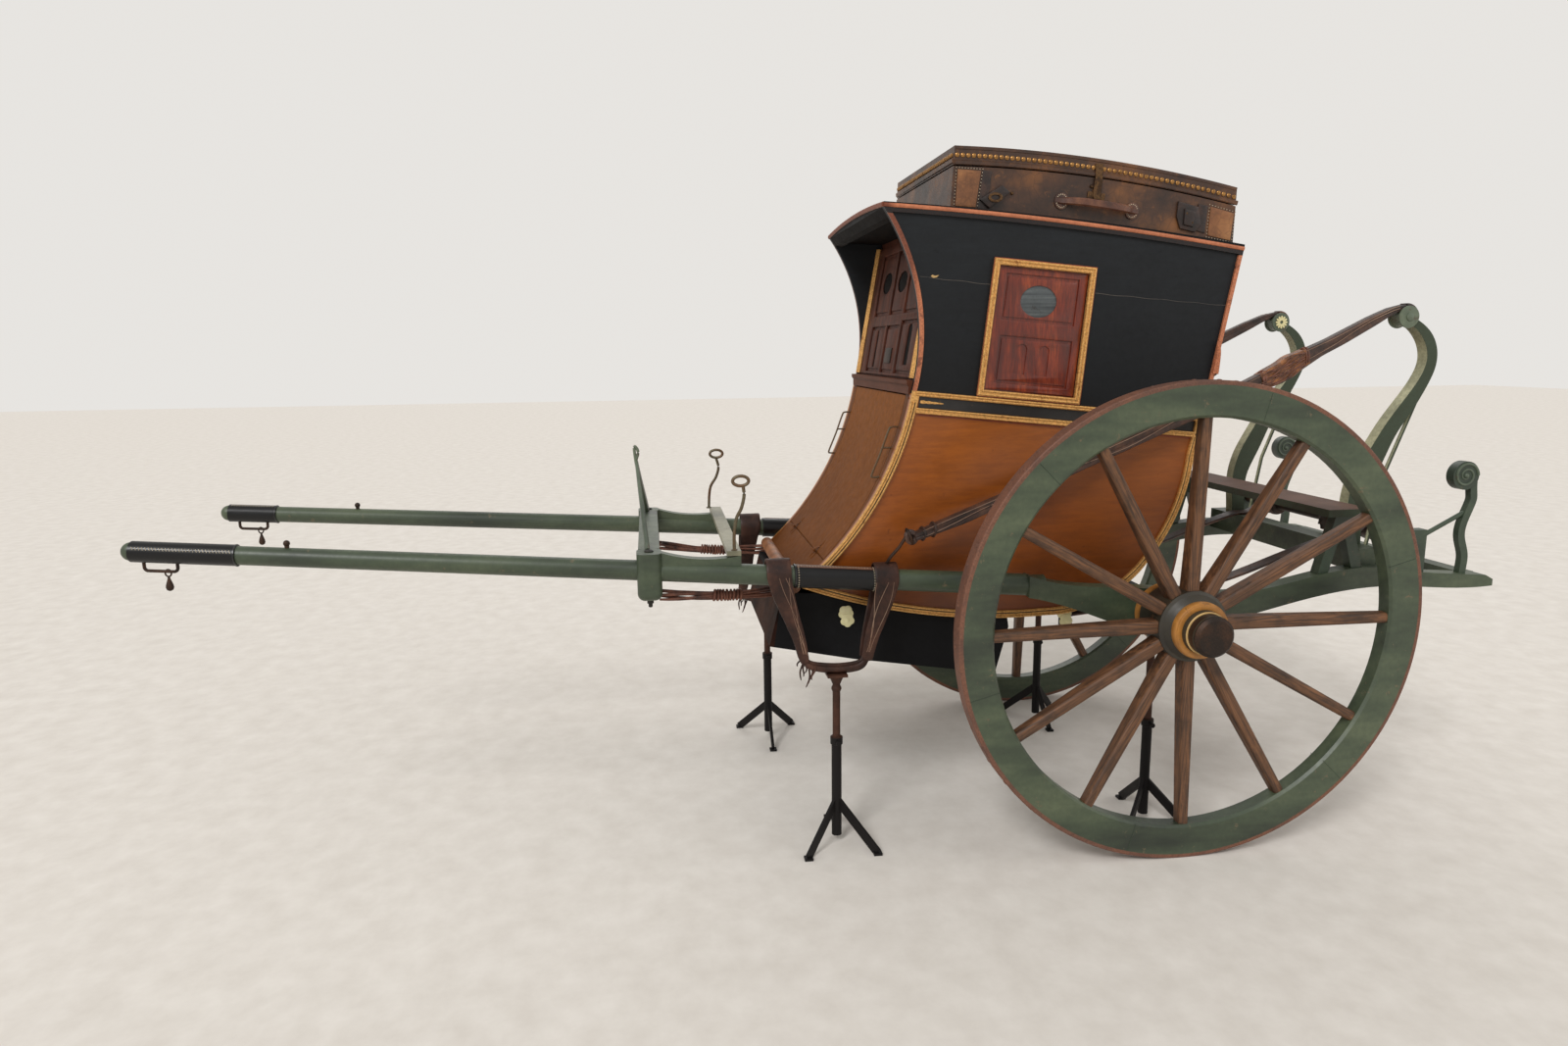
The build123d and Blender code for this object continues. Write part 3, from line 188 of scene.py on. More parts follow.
def old_paint(name, base, light, dark, worn, wear=0.62, gloss=0.42, streak=(1, 1, 1)):
    """Brushed oil paint: blotches, fine dirt, and small places where the layer under it shows."""
    look = Look(name)
    broad = look.noise(3.2, 4, 0.6, look.space(streak))
    colour = look.ramp(broad, [(0.3, dark), (0.5, base), (0.72, light)])
    fine = look.noise(60, 5, 0.65)
    colour = look.stain(colour, fine, [(0.35, 0.0), (0.75, 0.35)], dark)
    chips = look.noise(24, 7, 0.75, distortion=0.4)
    chip_mask = look.ramp(chips, [(wear, 0.0), (wear + 0.05, 0.9)])
    colour = look.mix(chip_mask, colour, worn)
    rough = look.scaled(fine, 0.25, gloss - 0.1)
    brush = look.noise(90, 3, 0.5, look.space(tuple(0.25 if s > 1 else 1.0 for s in streak)))
    height = look.calc("SUBTRACT", look.calc("MULTIPLY", brush, 0.4),
                       look.calc("MULTIPLY", chip_mask, 0.6))
    normal = look.bump(height, 0.35, 0.0015)
    return look.finish(colour, rough, normal=normal, coat=0.15, coat_rough=0.35)


def old_iron(name, base, rust, dark, rust_at=0.5, metal=0.55, rough=0.55):
    look = Look(name)
    patches = look.noise(10, 6, 0.65)
    fine = look.noise(180, 5, 0.7)
    colour = look.stain(base, patches, [(rust_at - 0.12, 0.0), (rust_at + 0.1, 1.0)], rust)
    colour = look.stain(colour, fine, [(0.35, 0.55), (0.65, 0.0)], dark)
    normal = look.bump(look.scaled(patches, 0.5, fine), 0.5, 0.0015)
    return look.finish(colour, look.scaled(fine, 0.35, rough - 0.15), metal, normal)


def old_leather(name, base, light, dark, gloss=0.45, crease=9.0, coat=0.1, specular=0.5):
    look = Look(name)
    broad = look.noise(crease, 5, 0.6)
    colour = look.ramp(broad, [(0.32, dark), (0.5, base), (0.74, light)])
    cell = look.cells(420)
    pores = look.ramp(cell, [(0.0, 0.0), (0.45, 1.0)])
    scuffs = look.noise(crease * 5, 7, 0.75, distortion=0.6)
    colour = look.stain(colour, scuffs, [(0.58, 0.0), (0.68, 0.6)], light)
    creases = look.cells(crease * 4, feature="DISTANCE_TO_EDGE")
    crease_mask = look.ramp(creases, [(0.0, 0.35), (0.05, 0.0)])
    colour = look.mix(crease_mask, colour, dark)
    height = look.scaled(pores, 0.25, look.calc("MULTIPLY", scuffs, 0.8))
    normal = look.bump(height, 0.45, 0.0012)
    rough = look.scaled(scuffs, 0.4, gloss - 0.15)
    return look.finish(colour, rough, normal=normal, coat=coat, coat_rough=0.3, specular=specular)


def wood(name, base, light, dark, along="Y", scale=1.0, gloss=0.5, coat=0.0, specular=0.5):
    """Grain that runs along one axis of the object."""
    look = Look(name)
    stretch = {"X": (0.12, 1, 1), "Y": (1, 0.12, 1), "Z": (1, 1, 0.12)}[along]
    space = look.space(tuple(s * scale for s in stretch))
    rings = look.noise(26, 6, 0.7, space, distortion=1.2)
    colour = look.ramp(rings, [(0.3, dark), (0.48, base), (0.62, light), (0.74, base)])
    fibres = look.noise(240, 4, 0.7, space)
    colour = look.stain(colour, fibres, [(0.4, 0.6), (0.6, 0.0)], dark)
    dirt = look.noise(7, 5, 0.6)
    colour = look.stain(colour, dirt, [(0.5, 0.0), (0.75, 0.55)], dark)
    height = look.scaled(rings, 0.5, fibres)
    normal = look.bump(height, 0.3, 0.0012)
    rough = look.scaled(fibres, 0.3, gloss - 0.1)
    return look.finish(colour, rough, normal=normal, coat=coat, coat_rough=0.15, specular=specular)


def spoke_wood(name, base, light, dark):
    """Worn paint and grain that run outwards from the wheel's centre."""
    look = Look(name)
    away = look.add("ShaderNodeVectorMath", operation="SUBTRACT")
    look.link(look.coords.outputs["Object"], away.inputs[0])
    away.inputs[1].default_value = (0, SHIFT, AXLE_Z / 1000)
    place = away.outputs["Vector"]
    reach = look.add("ShaderNodeVectorMath", operation="LENGTH")
    look.link(place, reach.inputs[0])
    polar = look.add("ShaderNodeCombineXYZ")
    turn = look.calc("ARCTAN2", look.axis("Y", place), look.axis("Z", place))
    look.link(look.calc("MULTIPLY", reach.outputs["Value"], 0.9), polar.inputs[0])
    look.link(look.calc("MULTIPLY", turn, 4.0), polar.inputs[1])
    look.link(look.calc("MULTIPLY", look.axis("X", place), 8.0), polar.inputs[2])
    fibres = look.noise(14, 6, 0.7, polar.outputs[0], distortion=0.6)
    colour = look.ramp(fibres, [(0.3, dark), (0.47, base), (0.62, light), (0.78, base)])
    dirt = look.noise(9, 5, 0.65)
    colour = look.stain(colour, dirt, [(0.48, 0.0), (0.7, 0.7)], dark)
    normal = look.bump(fibres, 0.35, 0.0015)
    return look.finish(colour, look.scaled(fibres, 0.3, 0.42), normal=normal)


def two_tone(name, near, other, axis, start, end, worn, gloss=0.45, specular=0.2):
    """Paint that changes tone along an axis of the place or, with N before it, by the way the surface
    faces, which on the posts paints light and shade.
    """
    look = Look(name)
    source = look.coords.outputs["Normal"] if axis.startswith("N") else None
    value = look.axis(axis[-1], source)
    share = look.calc("DIVIDE", look.calc("SUBTRACT", value, start), end - start)
    share.node.use_clamp = True
    broad = look.noise(9, 6, 0.65)
    colour = look.mix(share, near, other)
    colour = look.stain(colour, broad, [(0.35, 0.45), (0.62, 0.0)], worn)
    fine = look.noise(90, 5, 0.7)
    colour = look.stain(colour, fine, [(0.36, 0.35), (0.6, 0.0)], worn)
    normal = look.bump(look.calc("ADD", fine, broad), 0.3, 0.0012)
    rough = look.scaled(fine, 0.3, gloss - 0.1)
    return look.finish(colour, rough, normal=normal, specular=specular)


def gilding(name, base, worn, dark, wear=0.6, rough=0.38, metal=0.75):
    look = Look(name)
    patches = look.noise(22, 7, 0.7)
    colour = look.stain(base, patches, [(wear, 0.0), (wear + 0.06, 0.85)], worn)
    fine = look.noise(160, 5, 0.7)
    colour = look.stain(colour, fine, [(0.35, 0.6), (0.6, 0.0)], dark)
    normal = look.bump(look.calc("ADD", fine, patches), 0.4, 0.001)
    return look.finish(colour, look.scaled(patches, 0.4, rough - 0.15), metal, normal)


def body_panel(name, base, light, dark, low_z, high_z, gloss=0.22, coat=0.2, specular=0.4):
    """Varnished panel: darker towards its lower edge, with dull patches."""
    look = Look(name)
    broad = look.noise(2.4, 5, 0.6)
    height = look.axis("Z")
    fade = look.calc("DIVIDE", look.calc("SUBTRACT", height, low_z), high_z - low_z)
    tone = look.scaled(fade, 0.55, look.calc("MULTIPLY", broad, 0.6))
    colour = look.ramp(tone, [(0.2, dark), (0.52, base), (0.95, light)])
    grain = look.noise(50, 5, 0.7, look.space((1, 0.15, 1)))
    colour = look.stain(colour, grain, [(0.4, 0.3), (0.62, 0.0)], dark)
    spots = look.noise(38, 6, 0.7, distortion=0.5)
    colour = look.stain(colour, spots, [(0.64, 0.0), (0.7, 0.5)], dark)
    bumps = look.scaled(broad, 1.5, look.calc("MULTIPLY", grain, 0.25))
    normal = look.bump(bumps, 0.25, 0.003)
    rough = look.scaled(spots, 0.4, gloss)
    return look.finish(colour, rough, normal=normal, coat=coat, coat_rough=0.25, specular=specular)


GREEN = old_paint("green paint", rgb(66, 78, 58), rgb(92, 102, 76), rgb(38, 46, 36), rgb(104, 92, 68),
                  streak=(2, 0.5, 2))
TYRE = old_iron("tyre iron", rgb(112, 80, 68), rgb(138, 94, 74), rgb(58, 42, 36), 0.48, 0.3, 0.6)
SPOKE = spoke_wood("spoke wood", rgb(84, 56, 36), rgb(122, 82, 52), rgb(38, 28, 21))
NAVE = old_paint("nave paint", rgb(56, 50, 36), rgb(78, 70, 50), rgb(30, 26, 20), rgb(100, 70, 40),
                 gloss=0.5)
OCHRE = old_paint("ochre paint", rgb(190, 130, 58), rgb(208, 152, 78), rgb(118, 76, 34), rgb(90, 62, 38),
                  0.6, 0.45)
DARK_IRON = old_iron("dark iron", rgb(52, 42, 36), rgb(84, 58, 42), rgb(24, 20, 18), 0.55, 0.6, 0.5)
AXLE = old_iron("painted iron", rgb(44, 46, 42), rgb(62, 54, 44), rgb(22, 22, 20), 0.6, 0.3, 0.6)
BLACK_LEATHER = old_leather("black leather", rgb(12, 12, 14), rgb(28, 26, 27), rgb(6, 6, 7), 0.24,
                            coat=0.5)
BROWN_LEATHER = old_leather("brown leather", rgb(74, 50, 38), rgb(112, 78, 54), rgb(38, 26, 20), 0.6,
                            crease=14)
AMBER = body_panel("amber panel", rgb(144, 74, 18), rgb(166, 92, 28), rgb(84, 40, 14), 0.75, 1.5)
BLUE_BLACK = body_panel("blue black panel", rgb(18, 21, 25), rgb(28, 32, 36), rgb(10, 11, 13), 1.4, 2.1,
                        0.4, 0.0, 0.3)
COPPER = gilding("copper bead", rgb(204, 126, 88), rgb(150, 88, 62), rgb(96, 54, 40), 0.6, 0.42, 0.35)
GILT = gilding("gilding", rgb(236, 182, 108), rgb(160, 100, 52), rgb(112, 70, 36), 0.6, 0.34, 0.55)
MAHOGANY = wood("mahogany", rgb(122, 40, 12), rgb(150, 62, 22), rgb(72, 20, 8), "Z", 0.7, 0.3, 0.5)
INNER_WOOD = wood("inner wood", rgb(82, 54, 42), rgb(106, 72, 54), rgb(48, 30, 24), "X", 1.0, 0.6)
BOOT = old_leather("boot leather", rgb(11, 11, 13), rgb(21, 21, 24), rgb(5, 5, 7), 0.6, crease=4,
                   coat=0.0, specular=0.2)
SEAT = old_leather("seat leather", rgb(140, 92, 58), rgb(168, 120, 80), rgb(84, 52, 34), 0.5)
TRUNK = old_leather("trunk leather", rgb(70, 43, 26), rgb(128, 80, 38), rgb(34, 21, 15), 0.42, crease=6,
                    coat=0.25)
BRASS = gilding("old brass", rgb(176, 130, 74), rgb(120, 84, 50), rgb(66, 44, 28), 0.56, 0.34, 0.8)
STAND = old_iron("stand paint", rgb(22, 21, 22), rgb(50, 34, 28), rgb(12, 11, 11), 0.68, 0.2, 0.5)
BOARD = wood("plank", rgb(96, 80, 66), rgb(124, 106, 88), rgb(54, 42, 34), "X", 1.0, 0.62)
BLACK_LACQUER = old_paint("black lacquer", rgb(26, 24, 24), rgb(44, 40, 38), rgb(14, 13, 13),
                          rgb(176, 124, 58), 0.68, 0.35)
RED_LINE = old_paint("red line", rgb(140, 62, 38), rgb(168, 88, 58), rgb(86, 38, 26), rgb(70, 44, 30),
                     0.6, 0.45)
GREY_BLUE = old_paint("grey blue gauze", rgb(74, 80, 82), rgb(96, 102, 102), rgb(46, 50, 54),
                      rgb(50, 48, 46), 0.62, 0.6, (1, 1, 30))
CREAM = old_paint("cream paint", rgb(232, 224, 172), rgb(242, 236, 194), rgb(196, 184, 128),
                  rgb(150, 132, 88), 0.66, 0.4)
PALE_RING = old_paint("pale ring", rgb(206, 172, 112), rgb(224, 196, 140), rgb(150, 112, 66),
                      rgb(110, 84, 56), 0.62, 0.4)
JOINT_LINE = old_paint("joint line", rgb(52, 66, 48), rgb(68, 82, 60), rgb(36, 46, 36), rgb(30, 32, 26),
                       0.6, 0.7)
PALE_THREAD = old_paint("waxed thread", rgb(190, 176, 150), rgb(212, 200, 176), rgb(130, 112, 90),
                        rgb(90, 74, 58), 0.6, 0.6)
PATCH = old_leather("patched leather", rgb(128, 82, 48), rgb(164, 112, 66), rgb(78, 48, 30), 0.5,
                    crease=8)
DARK_STRAP = old_leather("dark strap leather", rgb(42, 28, 24), rgb(76, 50, 38), rgb(20, 15, 14), 0.42,
                         crease=16)
HANDLE_LEATHER = old_leather("handle leather", rgb(88, 50, 34), rgb(132, 86, 58), rgb(48, 28, 22), 0.38,
                             crease=12, coat=0.3)
LASH_LEATHER = old_leather("lashing leather", rgb(104, 62, 46), rgb(144, 92, 70), rgb(52, 32, 26), 0.6,
                           crease=22)
STRAP_LEATHER = old_leather("strap leather", rgb(62, 42, 34), rgb(98, 66, 48), rgb(30, 21, 18), 0.5,
                            crease=16)
WORN_LEATHER = old_leather("worn strap leather", rgb(118, 70, 34), rgb(184, 120, 62), rgb(48, 28, 18),
                           0.5, crease=26)
OLD_BRASS_DARK = gilding("dark brass", rgb(112, 82, 52), rgb(70, 50, 36), rgb(42, 32, 24), 0.48, 0.45,
                         0.7)
SLING_LEATHER = old_leather("sling leather", rgb(58, 36, 28), rgb(94, 62, 48), rgb(32, 20, 17), 0.5,
                            crease=10, specular=0.25)
FADED_THREAD = old_paint("faded thread", rgb(150, 118, 96), rgb(178, 150, 126), rgb(92, 66, 52),
                         rgb(60, 42, 34), 0.6, 0.6)
OLD_GREEN = old_paint("dull green paint", rgb(86, 98, 80), rgb(112, 122, 100), rgb(46, 56, 46),
                      rgb(80, 70, 54), 0.58, 0.45)
SHADED_WOOD = wood("shaded wood", rgb(84, 46, 34), rgb(108, 62, 46), rgb(46, 26, 19), "Z", 1.0, 0.5, 0.0,
                   specular=0.15)
SLEEVE = old_leather("sleeve leather", rgb(10, 10, 12), rgb(17, 17, 19), rgb(6, 6, 7), 0.3, crease=2,
                     coat=0.12, specular=0.35)
# Posts: cream on the faces that look forward and dark green on the others, a painted highlight on the lit
# front and painted shade on the sides.
POST_PAINT_AND_LIGHT = two_tone("post paint with painted light and shade", rgb(186, 186, 152), rgb(66, 76, 62), "NY", -0.75, -0.25,
                      rgb(58, 62, 48))
APRON = body_panel("apron panel", rgb(116, 66, 22), rgb(138, 82, 32), rgb(66, 36, 14), 0.8, 1.5, 0.4, 0.0,
                   0.1)
DOOR_FRAME = two_tone("door frame paint", rgb(116, 66, 22), rgb(98, 58, 42), "Z", 1.5, 1.51,
                      rgb(62, 36, 24), 0.5, 0.1)
STAND_PAINT = two_tone("stand paint and rust", rgb(24, 22, 22), rgb(78, 50, 38), "Z", 0.375, 0.38,
                       rgb(20, 16, 15), 0.5)
BAR_PAINT = old_paint("dusty bar paint", rgb(132, 128, 104), rgb(158, 154, 128), rgb(84, 84, 66),
                      rgb(86, 78, 58), 0.62, 0.42)
BOOT_BROWN = old_leather("boot front leather", rgb(50, 30, 23), rgb(78, 50, 37), rgb(26, 16, 13), 0.6,
                         crease=5, coat=0.0, specular=0.05)
TAN_LEATHER = old_leather("tan leather", rgb(140, 88, 52), rgb(176, 122, 78), rgb(80, 48, 30), 0.5,
                          crease=9)
RUSTY_ROD = old_iron("worn rod iron", rgb(112, 104, 82), rgb(120, 84, 56), rgb(58, 48, 38), 0.55, 0.55,
                     0.4)
CRACK = old_paint("crack filler", rgb(84, 78, 72), rgb(104, 96, 88), rgb(52, 50, 48), rgb(44, 42, 40),
                  0.6, 0.6)


def edge_bead():
    """Brown-red on the hood's front wing, copper behind, and black under the roof's edge."""
    look = Look("edge bead paint")
    fore = look.ramp(look.axis("Y"), [(0.17, rgb(132, 74, 52)), (0.2, rgb(204, 126, 88))])
    worn = look.noise(22, 7, 0.7)
    colour = look.stain(fore, worn, [(0.56, 0.0), (0.64, 0.85)], rgb(112, 62, 46))
    slope = look.calc("ADD", look.axis("Z"), look.calc("MULTIPLY", look.axis("Y"), 0.0981))
    colour = look.mix(look.calc("GREATER_THAN", slope, 2.0905), colour, rgb(22, 22, 24))
    fine = look.noise(160, 5, 0.7)
    colour = look.stain(colour, fine, [(0.35, 0.5), (0.6, 0.0)], rgb(60, 36, 28))
    return look.finish(colour, look.scaled(fine, 0.3, 0.3), 0.2, look.bump(fine, 0.3, 0.001))


EDGE_BEAD = edge_bead()
ROOF_BEAD = two_tone("roof bead paint", rgb(120, 68, 50), rgb(206, 130, 94), "Y", 0.09, 0.12,
                     rgb(128, 74, 54), 0.42)
BOARD_PAINT = two_tone("board paint", rgb(66, 80, 64), rgb(112, 86, 74), "NZ", 0.25, 0.6, rgb(60, 44, 38),
                       0.55)
DEEP_GREEN = old_paint("deep green paint", rgb(50, 64, 50), rgb(70, 84, 64), rgb(28, 36, 30),
                       rgb(84, 74, 56), 0.6, 0.45)
# Dark leather for the hood's lining, also used as painted shade inside the front shutter's ovals and slots.
LINING_AND_HOLE_SHADE = old_leather("hood lining and painted hole shade", rgb(16, 13, 13), rgb(28, 23, 21), rgb(8, 7, 7), 0.7, crease=5,
                          coat=0.0, specular=0.1)
BY_NODE = {
    "door_panel": APRON, "front_lower_panel": APRON, "door_irons": APRON,
    "rear_crossbar": BAR_PAINT, "front_roll": TAN_LEATHER, "boot_front": BOOT_BROWN,
           "s_posts": POST_PAINT_AND_LIGHT,
    "edge_beads": EDGE_BEAD, "rear_board": BOARD_PAINT, "rear_scrolls": DEEP_GREEN,
           "rear_supports": DEEP_GREEN,
    "ceiling": LINING_AND_HOLE_SHADE, "front_frame": DOOR_FRAME, "shaft_leathers": SLEEVE,
           "display_stands": STAND_PAINT, "front_shutter": SHADED_WOOD}
BY_SLOT = {
    "green_paint": GREEN, "tyre_iron": TYRE, "spoke_wood": SPOKE, "nave_wood": NAVE, "ochre_paint": OCHRE,
    "dark_iron": DARK_IRON, "axle_iron": AXLE, "black_leather": BLACK_LEATHER,
           "brown_leather": BROWN_LEATHER,
    "panel_amber": AMBER, "panel_black": BLUE_BLACK, "copper_bead": COPPER, "gilt": GILT,
           "mahogany": MAHOGANY,
    "inner_wood": INNER_WOOD, "boot_black": BOOT, "seat_leather": SEAT, "trunk_leather": TRUNK,
    "brass_fittings": BRASS, "stand_black": STAND, "board_wood": BOARD}

for part in frame["record"]["subparts"]:
    node = nodes[part["node"]]
    node.data.materials.clear()
    node.data.materials.append(BY_NODE.get(part["node"], BY_SLOT[part["material_slot"]]))

# Shapes: drawn in millimetres with the axle at y = 0, as the solids are


def world(point):
    return Vector((point[0] / 1000, point[1] / 1000 + SHIFT, point[2] / 1000))


def circle_through(a, b, c):
    """Centre and radius of the circle through three flat points."""
    d = 2 * (a[0] * (b[1] - c[1]) + b[0] * (c[1] - a[1]) + c[0] * (a[1] - b[1]))
    squares = [p[0] ** 2 + p[1] ** 2 for p in (a, b, c)]
    u = (squares[0] * (b[1] - c[1]) + squares[1] * (c[1] - a[1]) + squares[2] * (a[1] - b[1])) / d
    v = (squares[0] * (c[0] - b[0]) + squares[1] * (a[0] - c[0]) + squares[2] * (b[0] - a[0])) / d
    return u, v, math.hypot(a[0] - u, a[1] - v)


def arc(a, b, c, count, inset=0.0):
    """Points along the arc from a through b to c, moved to its left by inset."""
    u, v, radius = circle_through(a, b, c)
    turn = (b[0] - a[0]) * (c[1] - a[1]) - (b[1] - a[1]) * (c[0] - a[0])
    start = math.atan2(a[1] - v, a[0] - u)
    end = math.atan2(c[1] - v, c[0] - u)
    if turn > 0:
        while end < start:
            end += 2 * math.pi
        radius -= inset
    else:
        while end > start:
            end -= 2 * math.pi
        radius += inset
    return [(u + radius * math.cos(t), v + radius * math.sin(t)) for t in steps(start, end, count)]


def smooth_path(points, count):
    """Points along the Catmull-Rom curve through the given points, count to each stretch."""
    points = [Vector(p) for p in points]
    ends = [points[0] * 2 - points[1]] + points + [points[-1] * 2 - points[-2]]
    out = []
    for a, b, c, d in zip(ends, ends[1:], ends[2:], ends[3:]):
        for i in range(count):
            t = i / count
            out.append(0.5 * (2 * b + (c - a) * t + (2 * a - 5 * b + 4 * c - d) * t ** 2
                              + (3 * b - a - 3 * c + d) * t ** 3))
    return out + [points[-1]]


def steps(start, end, count):
    """Evenly spaced numbers from start to end, both included."""
    return [start + (end - start) * i / count for i in range(count + 1)]


def angles(count):
    """Angles of a full turn in equal parts."""
    return [2 * math.pi * k / count for k in range(count)]


class Shape:
    """A mesh being put together: corners in millimetres, faces, and UVs in metres along swept pieces."""

    def __init__(self):
        self.verts, self.faces, self.uvs = [], [], []

    def add(self, verts, faces, uvs=None):
        base = len(self.verts)
        self.verts += [Vector(v) for v in verts]
        self.faces += [[base + i for i in face] for face in faces]
        self.uvs += uvs or [[(verts[i][0] / 1000, verts[i][2] / 1000) for i in face] for face in faces]
        return self

    def mirror(self):
        """Adds the mirror image of everything so far."""
        return self.add([(-v[0], v[1], v[2]) for v in self.verts], [face[::-1] for face in self.faces],
                        [strip[::-1] for strip in self.uvs])

    def sweep(self, path, section, up=(0, 0, 1), closed=False, sizes=None):
        """Section of (across, up) points carried along the path; sizes scales it point by point."""
        path = [Vector(p) for p in path]
        count, ring = len(path), len(section)
        verts, faces, uvs, run, length = [], [], [], 0.0, []
        perimeter = [0.0]
        for i in range(ring):
            a, b = section[i], section[(i + 1) % ring]
            perimeter.append(perimeter[-1] + math.hypot(a[0] - b[0], a[1] - b[1]) / 1000)
        for i, point in enumerate(path):
            before = path[i - 1] if closed or i else path[0]
            after = path[(i + 1) % count] if closed or i < count - 1 else path[-1]
            along = (after - before).normalized()
            lift = Vector(up(i) if callable(up) else up)
            side = along.cross(lift).normalized()
            lift = side.cross(along)
            size = sizes[i] if sizes else 1.0
            wide, tall = size if isinstance(size, tuple) else (size, size)
            verts += [point + side * u * wide + lift * v * tall for u, v in section]
            run += (point - path[i - 1]).length / 1000 if i else 0
            length.append(run)
        for i in range(count if closed else count - 1):
            j = (i + 1) % count
            for k in range(ring):
                m = (k + 1) % ring
                faces.append((i * ring + k, j * ring + k, j * ring + m, i * ring + m))
                ends = length[i], length[j] if j else run + (path[0] - path[-1]).length / 1000
                uvs.append([(ends[0], perimeter[k]), (ends[1], perimeter[k]), (ends[1], perimeter[k + 1]),
                            (ends[0], perimeter[k + 1])])
        if not closed:
            for base, order in ((0, 1), ((count - 1) * ring, -1)):
                face = [base + k for k in range(ring)][::order]
                faces.append(face)
                uvs.append([(section[k - base][0] / 1000, section[k - base][1] / 1000) for k in face])
        return self.add(verts, faces, uvs)

    def strap(self, path, wide, tall, edge=2.0, up=(1, 0, 0), **options):
        """Flat strap with rounded edges; up is the way its face looks."""
        return self.sweep(path, strap_section(wide, tall, edge), up, **options)

    def tube(self, path, radius, sides=10, **options):
        """Round bar; radius is a number or one value a point."""
        sizes = [radius] * len(path) if isinstance(radius, (int, float)) else radius
        return self.sweep(path, round_section(1, 1, sides), sizes=sizes, **options)

    def lathe(self, profile, centre, axis=(1, 0, 0), sides=48):
        """Turned shape from (radius, distance along the axis) points; a radius of 0 closes it."""
        axis, centre = Vector(axis), Vector(centre)
        side = axis.orthogonal().normalized()
        other = axis.cross(side)
        verts, faces = [], []
        for radius, along in profile:
            for t in angles(sides):
                verts.append(centre + axis * along + (side * math.cos(t) + other * math.sin(t)) * radius)
        for i in range(len(profile) - 1):
            for k in range(sides):
                m = (k + 1) % sides
                faces.append((i * sides + k, i * sides + m, (i + 1) * sides + m, (i + 1) * sides + k))
        return self.add(verts, faces)

    def dome(self, centre, normal, radius, rise, sides=8):
        """Nail head: three rings and a point, standing on the surface."""
        profile = [(radius, -0.4), (radius * 0.92, rise * 0.45), (radius * 0.6, rise * 0.85),
                   (0.01, rise)]
        return self.lathe(profile, centre, Vector(normal).normalized(), sides)

    def relief(self, outlines, thick, lay, bevel=0.6, step=8.0):
        """Bevelled plate from closed (a, b) outlines, holes after the first, laid by lay(a, b, height)."""
        curve = bpy.data.curves.new("relief", "CURVE")
        curve.dimensions = "2D"
        curve.fill_mode = "BOTH"
        curve.extrude = thick / 2 - bevel
        curve.bevel_depth = bevel
        curve.bevel_resolution = 1
        curve.offset = -bevel
        for outline in outlines:
            points = split_long(outline, step)
            spline = curve.splines.new("POLY")
            spline.points.add(len(points) - 1)
            for point, (a, b) in zip(spline.points, points):
                point.co = (a, b, 0, 1)
            spline.use_cyclic_u = True
        obj = bpy.data.objects.new("relief", curve)
        mesh = bpy.data.meshes.new_from_object(obj)
        work = bmesh.new()
        work.from_mesh(mesh)
        bmesh.ops.remove_doubles(work, verts=work.verts, dist=0.01)
        bmesh.ops.recalc_face_normals(work, faces=work.faces)
        verts = [lay(v.co.x, v.co.y, v.co.z + thick / 2) for v in work.verts]
        flat = [(v.co.x / 1000, v.co.y / 1000) for v in work.verts]
        work.verts.index_update()
        faces = [[v.index for v in face.verts] for face in work.faces]
        work.free()
        bpy.data.objects.remove(obj)
        bpy.data.curves.remove(curve)
        bpy.data.meshes.remove(mesh)
        return self.add(verts, faces, [[flat[i] for i in face] for face in faces])

    def build(self, name, material, body="chassis", slot=None, replaces=(), subdivide=0,
              outward=False):
        """Turns the shape into a piece that rides on a body."""
        mesh = bpy.data.meshes.new(name)
        mesh.from_pydata([world(v) for v in self.verts], [], self.faces)
        layer = mesh.uv_layers.new(name="UVMap")
        flat = [uv for strip in self.uvs for uv in strip]
        for loop, uv in zip(layer.data, flat):
            loop.uv = uv
        if outward:
            work = bmesh.new()
            work.from_mesh(mesh)
            bmesh.ops.remove_doubles(work, verts=work.verts, dist=0.00001)
            bmesh.ops.recalc_face_normals(work, faces=work.faces)
            work.to_mesh(mesh)
            work.free()
        mesh.shade_smooth()
        mesh.set_sharp_from_angle(angle=SMOOTH_UNDER)
        mesh.materials.append(material)
        obj = bpy.data.objects.new(name, mesh)
        bpy.context.scene.collection.objects.link(obj)
        if subdivide:
            modifier = obj.modifiers.new("subdivision", "SUBSURF")
            modifier.levels = modifier.render_levels = subdivide
        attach(obj, body)
        if replaces:
            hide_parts(*replaces)
        return obj


def split_long(points, step):
    """A closed outline with points added so that no side is longer than step."""
    out = []
    for a, b in zip(points, points[1:] + points[:1]):
        parts = max(1, math.ceil(math.hypot(b[0] - a[0], b[1] - a[1]) / step))
        out += [(a[0] + (b[0] - a[0]) * i / parts, a[1] + (b[1] - a[1]) * i / parts)
                for i in range(parts)]
    return out


def round_section(wide, tall, sides=10):
    return [(wide * math.cos(t), tall * math.sin(t)) for t in angles(sides)]


def strap_section(wide, tall, edge=2.0):
    """Flat strap with rounded edges, centred."""
    a, b, c = wide / 2, tall / 2, min(edge, tall / 2.2)
    return [(-a, -b + c), (-a + c, -b), (a - c, -b), (a, -b + c), (a, b - c), (a - c, b), (-a + c, b),
            (-a, b - c)]


def ellipse(a, b, wide, tall, count=32):
    return [(a + wide * math.cos(t), b + tall * math.sin(t)) for t in angles(count)]


# Body trim

